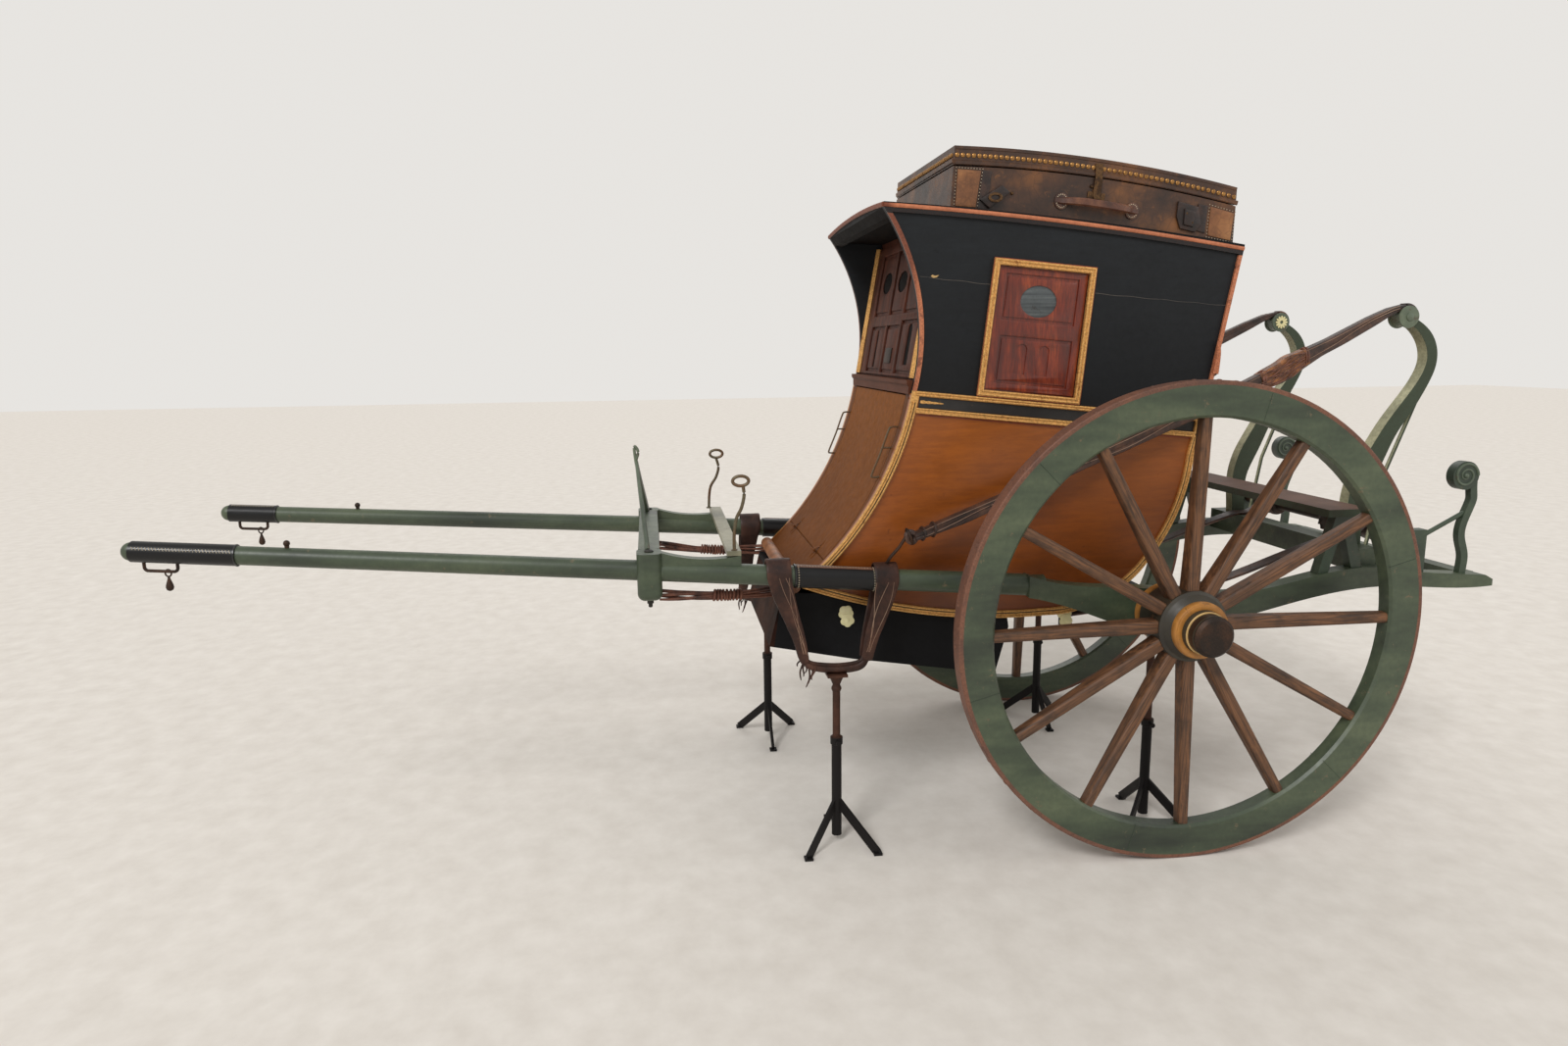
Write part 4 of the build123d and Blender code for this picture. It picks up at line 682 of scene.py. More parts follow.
BODY_FRONT, BODY_REAR = (-1300, 485, 405), (360, 378, 322)
BELT_FRONT, BELT_REAR = (-852, 1520), (204, 1408)
ROOF_FRONT, ROOF_REAR = (-950, 2100), (314, 1976)
TOE, APRON_MID, ROOF_MID = (-1220, 882), (-957, 1215), (-340, 2056)
BACK_KNEE, BACK_MID, HEEL = (181, 1285), (139, 1070), (24, 868)
HEEL_MID, SOLE, SOLE_MID = (-90, 782), (-330, 728), (-800, 762)
WINDOW = [(-560, 1926), (-244, 1898), (-284, 1494), (-607, 1528)]
PROUD = 8


def wall_x(y, z, out=0.0):
    """Outer face of the body's left wall at a place, moved out."""
    xs = []
    for _, wide, low in (BODY_FRONT, BODY_REAR):
        if z >= 1500:
            xs.append(wide)
        elif z >= 880:
            u, v, radius = circle_through((wide, 1500), (wide - 0.36 * (wide - low), 1180), (low, 880))
            sign = 1 if u < wide else -1
            xs.append(u + sign * math.sqrt(radius ** 2 - (z - v) ** 2))
        else:
            xs.append(low - 10 * (880 - z) / 400)
    t = (y - BODY_FRONT[0]) / (BODY_REAR[0] - BODY_FRONT[0])
    return xs[0] + t * (xs[1] - xs[0]) + out


def on_wall(points, out):
    return [(wall_x(y, z, out), y, z) for y, z in points]


def belt_z(y):
    t = (y - BELT_FRONT[0]) / (BELT_REAR[0] - BELT_FRONT[0])
    return BELT_FRONT[1] + t * (BELT_REAR[1] - BELT_FRONT[1])


def belt_run(y0, y1, rise, count=24):
    return [(y, belt_z(y) + rise) for y in steps(y0, y1, count)]


def edge_run(inset):
    """The body's lower edge from the belt in front, round the toe and sole, up the back to the belt."""
    front = arc(BELT_FRONT, APRON_MID, TOE, 30, inset)
    sole = arc(TOE, SOLE_MID, SOLE, 24, inset)
    heel = arc(SOLE, HEEL_MID, HEEL, 14, inset)
    back = arc(HEEL, BACK_MID, BACK_KNEE, 14, inset)
    corner = 0.7 * inset
    front = [p for p in front if p[1] < belt_z(p[0]) - 8 and p[0] > TOE[0] + corner]
    sole = [p for p in sole if p[0] > TOE[0] + inset * 1.1]
    back = back + [(BELT_REAR[0] - inset, belt_z(BELT_REAR[0]) - 8)]
    return front + sole + heel[1:] + back[1:]


BODY_OUT = (1, 0, 0)
trim = Shape()
for inset, radius in ((4.5, 4.2), (12.6, 3.6), (21.8, 3.6)):
    trim.sweep(on_wall(edge_run(inset), PROUD), round_section(radius, radius, 8), up=BODY_OUT)
for rise, radius in ((-2, 3.2), (6, 3.2), (-59, 3.0), (-47, 3.0)):
    trim.sweep(on_wall(belt_run(-838, 186, rise), PROUD), round_section(radius, radius, 8), up=BODY_OUT)
trim.mirror().build("gilt_beads", GILT, slot="gilt")

# Black bands between the gilt beads, and gilding worn off on the belt
black = Shape()
black.strap(on_wall(edge_run(17.2), PROUD + 0.2), 3.2, 2.4, 1)
black.strap(on_wall(belt_run(-826, 176, -25), 0.9), 36, 1.8, 0.8)
black.mirror().build("black_bands", BLACK_LACQUER, slot="panel_black")

streaks = Shape()
streaks.strap(on_wall(belt_run(-822, -742, -24, 8), 2.2), 9, 1.6, 0.7,
              sizes=[1, 1.3, 0.8, 1.1, 0.7, 0.9, 0.5, 0.6, 0.2])
streaks.mirror().build("worn_streaks", GILT, slot="gilt")

# Copper bead that covers the roof's side edges, and the hood's front edge
roof_line = arc(ROOF_FRONT, ROOF_MID, ROOF_REAR, 40, 6)
caps = Shape()
caps.sweep(on_wall(roof_line, PROUD - 1.5), round_section(5.5, 7.2, 8))
caps.mirror()
roof_half = wall_x(ROOF_FRONT[0], ROOF_FRONT[1], PROUD - 1.5)
for y, z, wide in ((-952, 2107, roof_half), (313, 1984, wall_x(*ROOF_REAR, PROUD - 1.5))):
    across = [(x, y, z + 17 * (1 - (x / wide) ** 2)) for x in steps(-wide, wide, 16)]
    caps.sweep(across, round_section(5, 8, 8))
caps.build("roof_beads", ROOF_BEAD, slot="copper_bead")

# Cracks and a chipped place in the upper panels
cracks, chips = Shape(), Shape()
for ends in (((-828, 1888), (-588, 1864)), ((-226, 1836), (269, 1794))):
    run = [Vector(ends[0]).lerp(Vector(ends[1]), i / 24) for i in range(25)]
    line = [(wall_x(y, z, 0.3), y, z + 1.2 * math.sin(y / 19)) for y, z in run]
    cracks.strap(line, 1.7, 0.9, 0.4)
cracks.mirror().build("panel_cracks", CRACK, slot="panel_black")
chips.relief([[(-792, 1890), (-786, 1894), (-777, 1891), (-764, 1893), (-772, 1886), (-783, 1884)]], 1,
             lambda y, z, h: (wall_x(y, z, h), y, z), 0.3)
chips.build("panel_chips", PALE_RING, slot="copper_bead")


def outline_offset(points, distance):
    """Corners of a closed outline moved outwards by distance; the corners run clockwise."""
    out = []
    count = len(points)
    for i in range(count):
        a, b, c = (Vector(points[(i + k) % count]) for k in (-1, 0, 1))
        first, second = (b - a).normalized(), (c - b).normalized()
        normals = [Vector((-d.y, d.x)) for d in (first, second)]
        middle = (normals[0] + normals[1]).normalized()
        out.append(tuple(b + middle * distance / middle.dot(normals[0])))
    return out


def side_lay(depth):
    """Lays flat (y, z) shapes on the left wall, their foot set out by depth."""
    return lambda y, z, h: (wall_x(y, z, depth + h), y, z)


# Gilt beads round the windows, and red lines beside them and under the belt
frames, red = Shape(), Shape()
red.strap(on_wall(belt_run(-826, 176, -66.5), 0.8), 4, 1.6, 0.7)
for distance, radius, out in ((4, 3.4, 11), (15.5, 4.2, 10.5)):
    line = split_long(outline_offset(WINDOW, distance), 40)
    frames.sweep(on_wall(line, out), round_section(radius, radius, 8), up=BODY_OUT, closed=True)
    line = split_long(outline_offset(WINDOW, distance + 5.6), 40)
    red.sweep(on_wall(line, 9.6), round_section(1.5, 1.5, 6), up=BODY_OUT, closed=True)
frames.mirror().build("window_beads", GILT, slot="gilt")
red.mirror().build("red_lines", RED_LINE, slot="copper_bead")


def window_at(s, t):
    """(y, z) of a place in the window: s from front to rear, t from the sill up."""
    (ay, az), (by, bz), (cy, cz), (dy, dz) = WINDOW
    low = (dy + s * (cy - dy), dz + s * (cz - dz))
    high = (ay + s * (by - ay), az + s * (bz - az))
    return low[0] + t * (high[0] - low[0]), low[1] + t * (high[1] - low[1])


def window_quad(s0, s1, t0, t1):
    return [window_at(s0, t0), window_at(s0, t1), window_at(s1, t1), window_at(s1, t0)]


UPPER_PANEL, LOWER_PANEL = (0.095, 0.9, 0.575, 0.945), (0.11, 0.905, 0.065, 0.45)
SHUTTER_FACE = -4
shutter = Shape()
shutter.relief([window_quad(0.012, 0.988, 0.012, 0.988), window_quad(*UPPER_PANEL),
                window_quad(*LOWER_PANEL)],
               5, side_lay(SHUTTER_FACE), 1.6)
vent = [window_at(*place) for place in ellipse(0.48, 0.742, 0.2, 0.127, 40)]
shutter.relief([window_quad(0.12, 0.875, 0.6, 0.92), vent], 3.4, side_lay(SHUTTER_FACE), 0.5)
slots = []
for s in (0.366, 0.612):
    foot, head, half = 0.15, 0.35, 0.056
    arch = [(s - half * math.cos(k * math.pi / 10), head + 0.045 * math.sin(k * math.pi / 10))
            for k in range(11)]
    slots.append([window_at(a, b) for a, b in [(s - half, foot)] + arch + [(s + half, foot)]])
shutter.relief([window_quad(0.135, 0.88, 0.09, 0.425), *slots], 3.4, side_lay(SHUTTER_FACE), 0.5)
shutter.mirror().build("shutter_panels", MAHOGANY, slot="mahogany")
grille = Shape()
grille.relief([vent], 1.2, side_lay(SHUTTER_FACE), 0.2)
grille.mirror().build("shutter_vents", GREY_BLUE, slot="panel_black")

# Roof trunk

TRUNK_X = 370


def seam_at(y, rise=0.0):
    """Height of the trunk's seam, or of a line that runs above it."""
    u, v, radius = circle_through((-688, 2240), (-199, 2206), (290, 2121))
    return v + math.sqrt(radius ** 2 - (y - u) ** 2) + rise


def trunk_lay(side, out=0.0):
    return lambda y, z, h: (side * (TRUNK_X + out + h), y, z)


nails = Shape()
y = -686
while y < 284:
    for side in (-1, 1):
        nails.dome((side * TRUNK_X, y, seam_at(y, 34 - 6 * (y + 686) / 970)), (side, 0, 0), 8, 5)
    y += 18.5
nails.build("trunk_nails", BRASS, "trunk_lid", "brass_fittings")
lips = Shape()
lip_line = [(TRUNK_X + 1, y, seam_at(y, 11)) for y in steps(-694, 290, 40)]
lips.strap(lip_line, 15, 7, 2.5)
top_line = [(TRUNK_X - 1, y, seam_at(y, 57 - 2 * i / 40)) for i, y in enumerate(steps(-690, 286, 40))]
lips.strap(top_line, 12, 5, 2)
lips.mirror()
lips.strap([(x, -699.5, 2257) for x in steps(-368, 368, 10)], 15, 6, 2.5, up=(0, 1, 0.06))
lips.build("trunk_lid_edges", TRUNK, "trunk_lid", "trunk_leather")

front_nails = Shape()
for i in range(38):
    front_nails.dome((-350 + 18.9 * i, -697.5, 2276), (0, -1, 0.06), 8, 5)
    front_nails.dome((-350 + 18.9 * i, 288.5, 2146), (0, 1, 0), 8, 5)
front_nails.build("trunk_end_nails", BRASS, "trunk_lid", "brass_fittings")

FRONT_PATCH = [(-684, 2230), (-606, 2226), (-622, 2112), (-690, 2116)]
REAR_PATCH = [(195, 2120), (279, 2099), (272, 2010), (190, 2026)]
patches = Shape()
for side in (-1, 1):
    for patch in (FRONT_PATCH, REAR_PATCH):
        patches.relief([patch], 3.2, trunk_lay(side), 1.2)
patches.build("trunk_corner_patches", PATCH, slot="trunk_leather")
STRAP_MARKS = [[(-600, 2227), (-570, 2225), (-584, 2102), (-616, 2106)],
               [(150, 2128), (184, 2122), (178, 2034), (146, 2042)]]
dark_straps = Shape()
for strap in STRAP_MARKS:
    dark_straps.relief([strap], 4.4, trunk_lay(1), 1.6)
dark_straps.relief([[(-537, 2181), (-509, 2158), (-578, 2108), (-612, 2136)]], 13, trunk_lay(1), 3)
dark_straps.relief([[(76, 2136), (148, 2118), (160, 2062), (140, 2036), (86, 2048), (72, 2086)]], 9,
                   trunk_lay(1), 3)
dark_straps.relief([[(96, 2112), (136, 2102), (128, 2052), (94, 2060)]], 17, trunk_lay(1), 5)
dark_straps.build("trunk_straps", DARK_STRAP, slot="trunk_leather")
stitches = Shape()
for side in (-1, 1):
    for patch in (FRONT_PATCH, REAR_PATCH):
        for a, b in split_long(outline_offset(patch, 5 if patch[0][1] > patch[2][1] else -5), 11):
            stitches.dome((side * (TRUNK_X + 3), a, b), (side, 0, 0), 1.7, 1.0, 6)
for centre in ((-331, 2134), (-85, 2104)):
    for a, b in ellipse(*centre, 18, 21, 18):
        stitches.dome((TRUNK_X + 4.6, a, b), (1, 0, 0), 2.2, 1.6, 6)
stitches.build("trunk_stitches", PALE_THREAD, slot="brass_fittings")

hardware = Shape()
for y, z in ((-500, 2157), (-229, 2181), (-560, 2140), (104, 2096), (124, 2066)):
    hardware.dome((TRUNK_X + (1 if y < -400 else 12 if y > 0 else 2), y, z), (1, 0, 0), 6, 6, 10)
hardware.relief([[(-240, 2166), (-180, 2158), (-184, 2124), (-244, 2132)]], 4, trunk_lay(1), 1)
hardware.relief([ellipse(-560, 2142, 24, 16, 24), ellipse(-560, 2142, 15, 8, 24)], 4, trunk_lay(1, 13), 1)
hardware.build("trunk_irons", OLD_BRASS_DARK, slot="brass_fittings")
hasp = Shape()
hasp_path = [(TRUNK_X + out, -206 + lean, z) for out, lean, z in
             ((3, 2, 2252), (6, 1, 2232), (8.5, 0, 2214), (8, -2, 2190), (7, -4, 2168), (7.5, -5, 2150),
              (9, -6, 2140))]
hasp.strap(hasp_path, 27, 4.5, 1.8, sizes=[1, 0.95, 0.9, 0.95, 1, 1.05, 0.8])
hasp.dome((TRUNK_X + 5.5, -204, 2240), (1, 0, 0), 5, 4, 10)
hasp.build("trunk_hasp", OLD_BRASS_DARK, "trunk_lid", "brass_fittings")
handle = Shape()
for centre in ((-331, 2134), (-85, 2104)):
    handle.relief([ellipse(*centre, 24, 27, 28)], 5, trunk_lay(1), 1.6)
grip = smooth_path([(TRUNK_X + 3, -352, 2137), (TRUNK_X + 8, -330, 2134), (TRUNK_X + 24, -304, 2131),
                    (TRUNK_X + 31, -262, 2127),
                    (TRUNK_X + 33, -208, 2120), (TRUNK_X + 31, -154, 2113), (TRUNK_X + 24, -112, 2107),
                    (TRUNK_X + 8, -86, 2104), (TRUNK_X + 3, -64, 2101)], 6)
swell = [0.75 + 0.45 * math.sin(math.pi * i / (len(grip) - 1)) ** 0.6 for i in range(len(grip))]
handle.strap(grip, 22, 9, 4, sizes=swell)
handle.build("trunk_handle", HANDLE_LEATHER, slot="trunk_leather", replaces=("trunk_fittings",))

# Rosettes on the boot and under the sole


def lobes(a, b, size):
    """Scalloped round outline with five petals."""
    points = []
    for t in angles(60):
        radius = size * (0.84 + 0.16 * abs(math.cos(2.5 * t + 0.6)))
        points.append((a + radius * math.cos(t), b + radius * math.sin(t)))
    return points


rosettes = Shape()
for y, z, x in ((-1046, 757, 352), (-251, 716, 343)):
    rosettes.relief([lobes(y - 2, z + 13, 27)], 4, lambda a, b, h, x=x: (x + 1 + h, a, b), 1.6)
    rosettes.relief([lobes(y + 3, z - 13, 25)], 4, lambda a, b, h, x=x: (x + 3.4 + h, a, b), 1.6)
    rosettes.dome((x + 6.6, y + 3, z - 13), (1, 0, 0), 8, 4, 12)
rosettes.mirror().build("boot_rosettes", CREAM, slot="ochre_paint")
tabs = Shape()
tabs.strap([(343, -251, 746), (342, -251, 720), (341.5, -251, 686)], 44, 5, 2)
tabs.mirror().build("rosette_tabs", BLACK_LEATHER, slot="black_leather")

# Wheels: rings on the nave, felloe joints and nail heads on the tyre

SIDES = (("wheel_left", 1), ("wheel_right", -1))
HUB = (0, 0, AXLE_Z)


def rim(angle, radius, x):
    t = math.radians(angle)
    return Vector((x, radius * math.cos(t), AXLE_Z + radius * math.sin(t)))


for body, side in SIDES:
    outward = (side, 0, 0)
    ring = Shape().lathe([(84, 778), (90.5, 781), (92, 788), (92, 799), (90, 806), (85, 810.5),
                          (75, 811.5), (71.5, 810), (70, 806)],
                         HUB, outward)
    ring.build(body + "_ochre_ring", OCHRE, body, "ochre_paint")
    cone = Shape().lathe([(71, 806), (70.5, 813), (69, 821), (68, 830), (64, 830)], HUB, outward)
    cone.lathe([(65.4, 862), (66.4, 864), (66.4, 867), (65.4, 869)], HUB, outward)
    cone.build(body + "_nave_collar", NAVE, body, "nave_wood")
    pale = Shape().lathe([(65, 829), (68, 828.6), (69.6, 830.5), (69.6, 833), (68, 835), (65, 835)], HUB,
                         outward)
    pale.build(body + "_pale_ring", PALE_RING, body, "ochre_paint")
    joints = Shape()
    for n in range(6):
        angle = 15 + 60 * n
        for x in (FELLOE_BACK - 0.3, TYRE_FACE + 0.3):
            joints.strap([rim(angle, r, side * x) for r in (668, 700, 732, 765)], 1.8, 1.4, 0.5)
    joints.build(body + "_felloe_joints", JOINT_LINE, body, "green_paint")
    studs = Shape()
    rng = random.Random(3 if side > 0 else 4)
    for n in range(72):
        angle = 2.5 + 5 * n + rng.uniform(-0.5, 0.5)
        x = side * ((FELLOE_BACK + TYRE_FACE) / 2 + (13 if n % 2 else -13) + rng.uniform(-2, 2))
        studs.dome(rim(angle, 779.6, x), rim(angle, 1, 0) - Vector(HUB), 8.5,
                   2.4 + rng.uniform(-0.5, 0.6), 8)
    studs.build(body + "_tyre_nails", TYRE, body, "tyre_iron")

# Shafts: laced seams, drops, bolts

TIP, ROOT = (368, -3290, 1076), (492, -400, 872)


def shaft_at(y):
    t = (y - TIP[1]) / (ROOT[1] - TIP[1])
    return Vector((TIP[0] + t * (ROOT[0] - TIP[0]), y, TIP[2] + t * (ROOT[2] - TIP[2])))


def shaft_radius(y):
    return 29 + 8 * (y - TIP[1]) / (ROOT[1] - TIP[1])


def round_shaft(y, angle, out, side=1):
    """Place on the left or right shaft: angle from the top towards its outer side, out from its surface."""
    centre, t = shaft_at(y), math.radians(angle)
    reach = shaft_radius(y) + out
    return Vector((side * (centre.x + reach * math.sin(t)), y, centre.z + reach * math.cos(t)))


lacing, cord, seam, dots = Shape(), Shape(), Shape(), Shape()
for side, runs in ((1, ((-3278, -2986, 62), (-1234, -976, 18))),
                   (-1, ((-3278, -3126, -20), (-1234, -976, 18)))):
    for y in (-1230, -980):
        middle = shaft_at(y)
        middle.x *= side
        for k in range(14):
            turn = 8 + 13 * k
            dots.dome(round_shaft(y, turn, 3.4, side), round_shaft(y, turn, 20, side) - middle, 2.6, 2.4,
                      6)
    for y0, y1, angle in runs:
        if y0 == -1234:
            line = [round_shaft(y, angle, 3.6, side) for y in steps(y0, y1, 20)]
            seam.strap(line, 15, 3, 1.2, up=(side * 0.31, 0, 0.95))
        cord.tube([round_shaft(y, angle, 4.2, side) for y in steps(y0, y1, 20)], 1.7, 6)
        count = int((y1 - y0) / 9.5)
        for i in range(count):
            y = y0 + (y1 - y0) * (i + 0.5) / count
            ends = [round_shaft(y - 2.2, angle - 8, 4.4, side), round_shaft(y, angle, 5.8, side),
                    round_shaft(y + 2.2, angle + 8, 4.4, side)]
            lacing.tube(ends, 1.0, 5)
lacing.build("sleeve_lacing", PALE_THREAD, slot="black_leather")
cord.build("sleeve_seams", BLACK_LEATHER, slot="black_leather")
seam.build("sleeve_seam_strips", HANDLE_LEATHER, slot="brown_leather")
dots.build("sleeve_stitches", PALE_THREAD, slot="black_leather")

sleeve_bands = Shape()
for side, ends in ((1, (-2981, -1240, -970)), (-1, (-3121, -1240, -970))):
    for y in ends:
        rings = [(y - 3, 2.5), (y - 1.5, 5.6), (y + 1.5, 5.6), (y + 3, 2.5)]
        loop = [[round_shaft(a, 15 * k, out, side) for k in range(24)] for a, out in rings]
        verts = [v for strip in loop for v in strip]
        faces = [(i * 24 + k, i * 24 + (k + 1) % 24, (i + 1) * 24 + (k + 1) % 24, (i + 1) * 24 + k)
                 for i in range(3) for k in range(24)]
        sleeve_bands.add(verts, faces if side > 0 else [f[::-1] for f in faces])
sleeve_bands.build("sleeve_bands", BLACK_LEATHER, slot="black_leather")

drops = Shape()
for side, y in ((1, -3190), (-1, -3186)):
    top = shaft_at(y)
    x, z = side * top.x, top.z - shaft_radius(y) - 27
    loop = [(x, y + 9 * math.sin(t), z - 8 + 11 * math.cos(t)) for t in angles(16)]
    drops.tube(loop, 2.6, 8, closed=True, up=BODY_OUT)
    drops.lathe([(0.01, -17), (3.4, -18), (4, -26), (7.5, -36), (10.5, -46), (11.5, -54), (9, -61),
                 (4, -64.5), (0.01, -65)],
                (x, y, z), (0, 0, 1), 16)
drops.build("draught_drops", DARK_IRON, slot="dark_iron")

BAR_Y = -1712
collar = shaft_at(BAR_Y)
bolts = Shape()
for side in (-1, 1):
    bolts.lathe([(14, 1), (14, -3), (11, -4), (11, -15), (7, -16), (7, -26), (5, -28), (0.01, -28.5)],
                (side * collar.x, BAR_Y, collar.z - 94), (0, 0, 1), 6)
    bolts.lathe([(15, -1), (15, 3), (10, 6), (0.01, 8)], (side * collar.x, BAR_Y, collar.z + 62),
                (0, 0, 1), 16)
bolts.build("collar_bolts", AXLE, slot="dark_iron")

# Lashings: loose strands of leather bound round in the middle

lash_head = Vector((collar.x - 20, BAR_Y + 30, collar.z - 72))
lash_foot = Vector((352, -1228, 870))
lash = Shape()
for side in (-1, 1):
    rng = random.Random(11 + side)
    for strand in range(7):
        turn = 2 * math.pi * strand / 7
        path = []
        phase = rng.uniform(0, 6)
        for i in range(15):
            t = i / 14
            centre = lash_head.lerp(lash_foot, t) - Vector((0, 0, 13 + 9 * math.sin(math.pi * t)))
            spread = 13 - 6.5 * math.sin(math.pi * t) ** 2
            wobble = 3 * math.sin(5 * t + phase)
            angle = turn + 2.2 * t
            path.append(Vector((side * (centre.x + (spread + wobble) * math.cos(angle)), centre.y,
                                centre.z + (spread * 1.3 + wobble) * math.sin(angle))))
        lash.sweep(path, round_section(5.4, 3.4, 8), up=(side * math.cos(turn), 0, math.sin(turn)))
    for k in range(9):
        t = 0.4 + 0.024 * k
        centre = lash_head.lerp(lash_foot, t) - Vector((0, 0, 13 + 9 * math.sin(math.pi * t)))
        turns = []
        for angle in angles(16):
            turns.append(Vector((side * (centre.x + 13.5 * math.cos(angle)),
                                 centre.y + 2.5 * math.sin(angle + k),
                                 centre.z + 17 * math.sin(angle))))
        lash.tube(turns, 4.0 + rng.uniform(-0.5, 0.6), 7, closed=True, up=(0, 1, 0))
lash.build("lashing_strands", LASH_LEATHER, slot="brown_leather", replaces=("lashings",))

# Slings: a worn strap over each shaft at both ends of the mid sleeve, gathered into a roll on the stand

SLING_FOOT = {1: -1106, -1: -1226}
SLING_X = 483
SLING_LOW = 640
SLING_HALF = 17
STRAND = [(-0.5, -0.28), (-0.46, -0.5), (-0.2, -0.34), (0.12, -0.42), (0.46, -0.5), (0.5, -0.28),
          (0.5, 0.3), (0.44, 0.5),
          (0.14, 0.38), (-0.16, 0.48), (-0.44, 0.42), (-0.5, 0.3)]


def sling_leg(shape, side, top, foot, widths, rng):
    """Strap from the roll up inside the shaft, over it and down outside; top is its middle on the shaft."""
    centre, reach = shaft_at(top), shaft_radius(top) + 8
    places, lifts, sizes = [], [], []

    def put(x, t, lift):
        sway = 3 * math.sin(7 * t + top) + rng.uniform(-1, 1)
        places.append((side * x, foot + (top - foot) * t + sway,
                       SLING_LOW + (centre.z - SLING_LOW) * min(t, 1)))
        lifts.append((side * lift[0], 0, lift[1]))
        sizes.append((widths[0] + (widths[1] - widths[0]) * min(t, 1) ** 1.2 + rng.uniform(-1.5, 1.5), 8))

    count = 14
    for i in range(count):
        t = i / count
        put(SLING_X - SLING_HALF + (centre.x - reach - SLING_X + SLING_HALF) * t, t, (-1, 0))
    for k in range(11):
        turn = math.pi * (k / 10 - 0.5)
        bulge = 1 + 0.3 * max(0, math.cos(turn)) ** 2
        places.append((side * (centre.x + reach * math.sin(turn)), top,
                       centre.z + reach * bulge * math.cos(turn)))
        lifts.append((side * math.sin(turn), 0, math.cos(turn) + 0.001))
        sizes.append((widths[1] + 2, 8))
    for i in range(count):
        t = 1 - (i + 1) / count
        put(SLING_X + SLING_HALF + (centre.x + reach - SLING_X - SLING_HALF) * t, t, (1, 0))
    shape.sweep(places, STRAND, up=lambda i: lifts[i], sizes=sizes)


slings, scratches = Shape(), Shape()
for side in (1, -1):
    rng = random.Random(21 + side)
    mid = SLING_FOOT[side]
    sling_leg(slings, side, -1295, mid - 104, (30, 80), rng)
    sling_leg(slings, side, -940, mid + 98, (38, 78), rng)
    roll = [(side * (SLING_X + rng.uniform(-2, 2)), mid + y, z) for y, z in
            ((-112, 668), (-106, 650), (-92, 634), (-60, 623), (0, 616), (56, 618), (86, 628), (100, 648),
             (106, 668))]
    roll = smooth_path(roll, 4)
    for k in range(4):
        turn = math.pi * (0.25 + k / 2)
        strand = [p + Vector((13 * math.cos(turn + 0.05 * i), 0, 7 * math.sin(turn + 0.05 * i))) for i,
                  p in enumerate(roll)]
        slings.sweep(strand, round_section(11, 8, 10), up=BODY_OUT,
                     sizes=[0.8 + 0.25 * math.sin(math.pi * i / (len(roll) - 1))
                            for i in range(len(roll))])
    for k in range(7):
        y, length = mid - 116 + 7 * k, 34 + 9 * (k * 5 % 7)
        start = Vector((side * (SLING_X - 20 + 7 * k), y, 656 - 3 * k))
        slings.strap([start + Vector((0, 5 * math.sin(1.3 * j + k) - 2.5 * j, -length * j / 5))
                      for j in range(6)], 7, 3, 1, sizes=[1, 1, 0.9, 0.9, 0.8, 0.5])
    for top, foot in ((-1295, mid - 104), (-940, mid + 98)):
        centre = shaft_at(top)
        for k in range(3):
            off = rng.uniform(-1, 1)
            path = []
            for i in range(15):
                t = 1.0 - i / 16
                outer = centre.x + shaft_radius(top) + 8
                x = SLING_X + SLING_HALF + (outer - SLING_X - SLING_HALF) * t + 3.6
                wave = 26 * (off + 0.5 * math.sin(5 * t + 2.1 * k)) * (0.35 + 0.65 * t)
                path.append((side * x, foot + (top - foot) * t + wave,
                             SLING_LOW + (centre.z - SLING_LOW) * t))
            scratches.tube(path, 0.9, 5)
slings.build("sling_leathers", SLING_LEATHER, slot="brown_leather", replaces=("sling_straps",),
             subdivide=1)
scratches.build("sling_threads", FADED_THREAD, slot="brown_leather")

# Main straps: two layers of thick leather sewn along a wavy line, bound and worn before the roller

STRAP_TOP = [(-856, 1068), (-695, 1130), (-549, 1184), (-200, 1322), (100, 1440), (353, 1547),
             (434, 1584),
             (500, 1622), (560, 1646), (651, 1680), (816, 1755), (893, 1785), (955, 1798)]
STRAP_UNDER = [(-848, 1043), (-684, 1092), (-572, 1136), (-200, 1280), (100, 1396), (400, 1508),
               (463, 1524), (560, 1584),
               (617, 1618), (700, 1656), (828, 1722), (881, 1752), (955, 1787)]
ROLLER = Vector((360, 955, 1752))
STRAP_X = (503, 360)
BUNDLE = [(-20, -0.16), (-19, -0.42), (-14, -0.5), (14, -0.5), (19, -0.42), (20, -0.16), (18, -0.02),
          (20, 0.1),
          (19, 0.42), (14, 0.5), (-14, 0.5), (-19, 0.42), (-20, 0.1), (-18, -0.02)]


def height_at(line, y):
    """Height of a side outline at y."""
    for (y0, z0), (y1, z1) in zip(line, line[1:]):
        if y <= y1:
            return z0 + (z1 - z0) * (y - y0) / (y1 - y0)
    return line[-1][1]


def strap_place(y, rise=0.0, out=0.0):
    """Place in the left main strap: rise runs from -0.5 at its lower edge to 0.5 at its upper one."""
    low, high = height_at(STRAP_UNDER, y), height_at(STRAP_TOP, y)
    t = (y + 856) / 1811
    return Vector((STRAP_X[0] + (STRAP_X[1] - STRAP_X[0]) * t + out, y,
                   (low + high) / 2 + rise * (high - low)))


def strap_height(y):
    return 0.92 * (height_at(STRAP_TOP, y) - height_at(STRAP_UNDER, y))


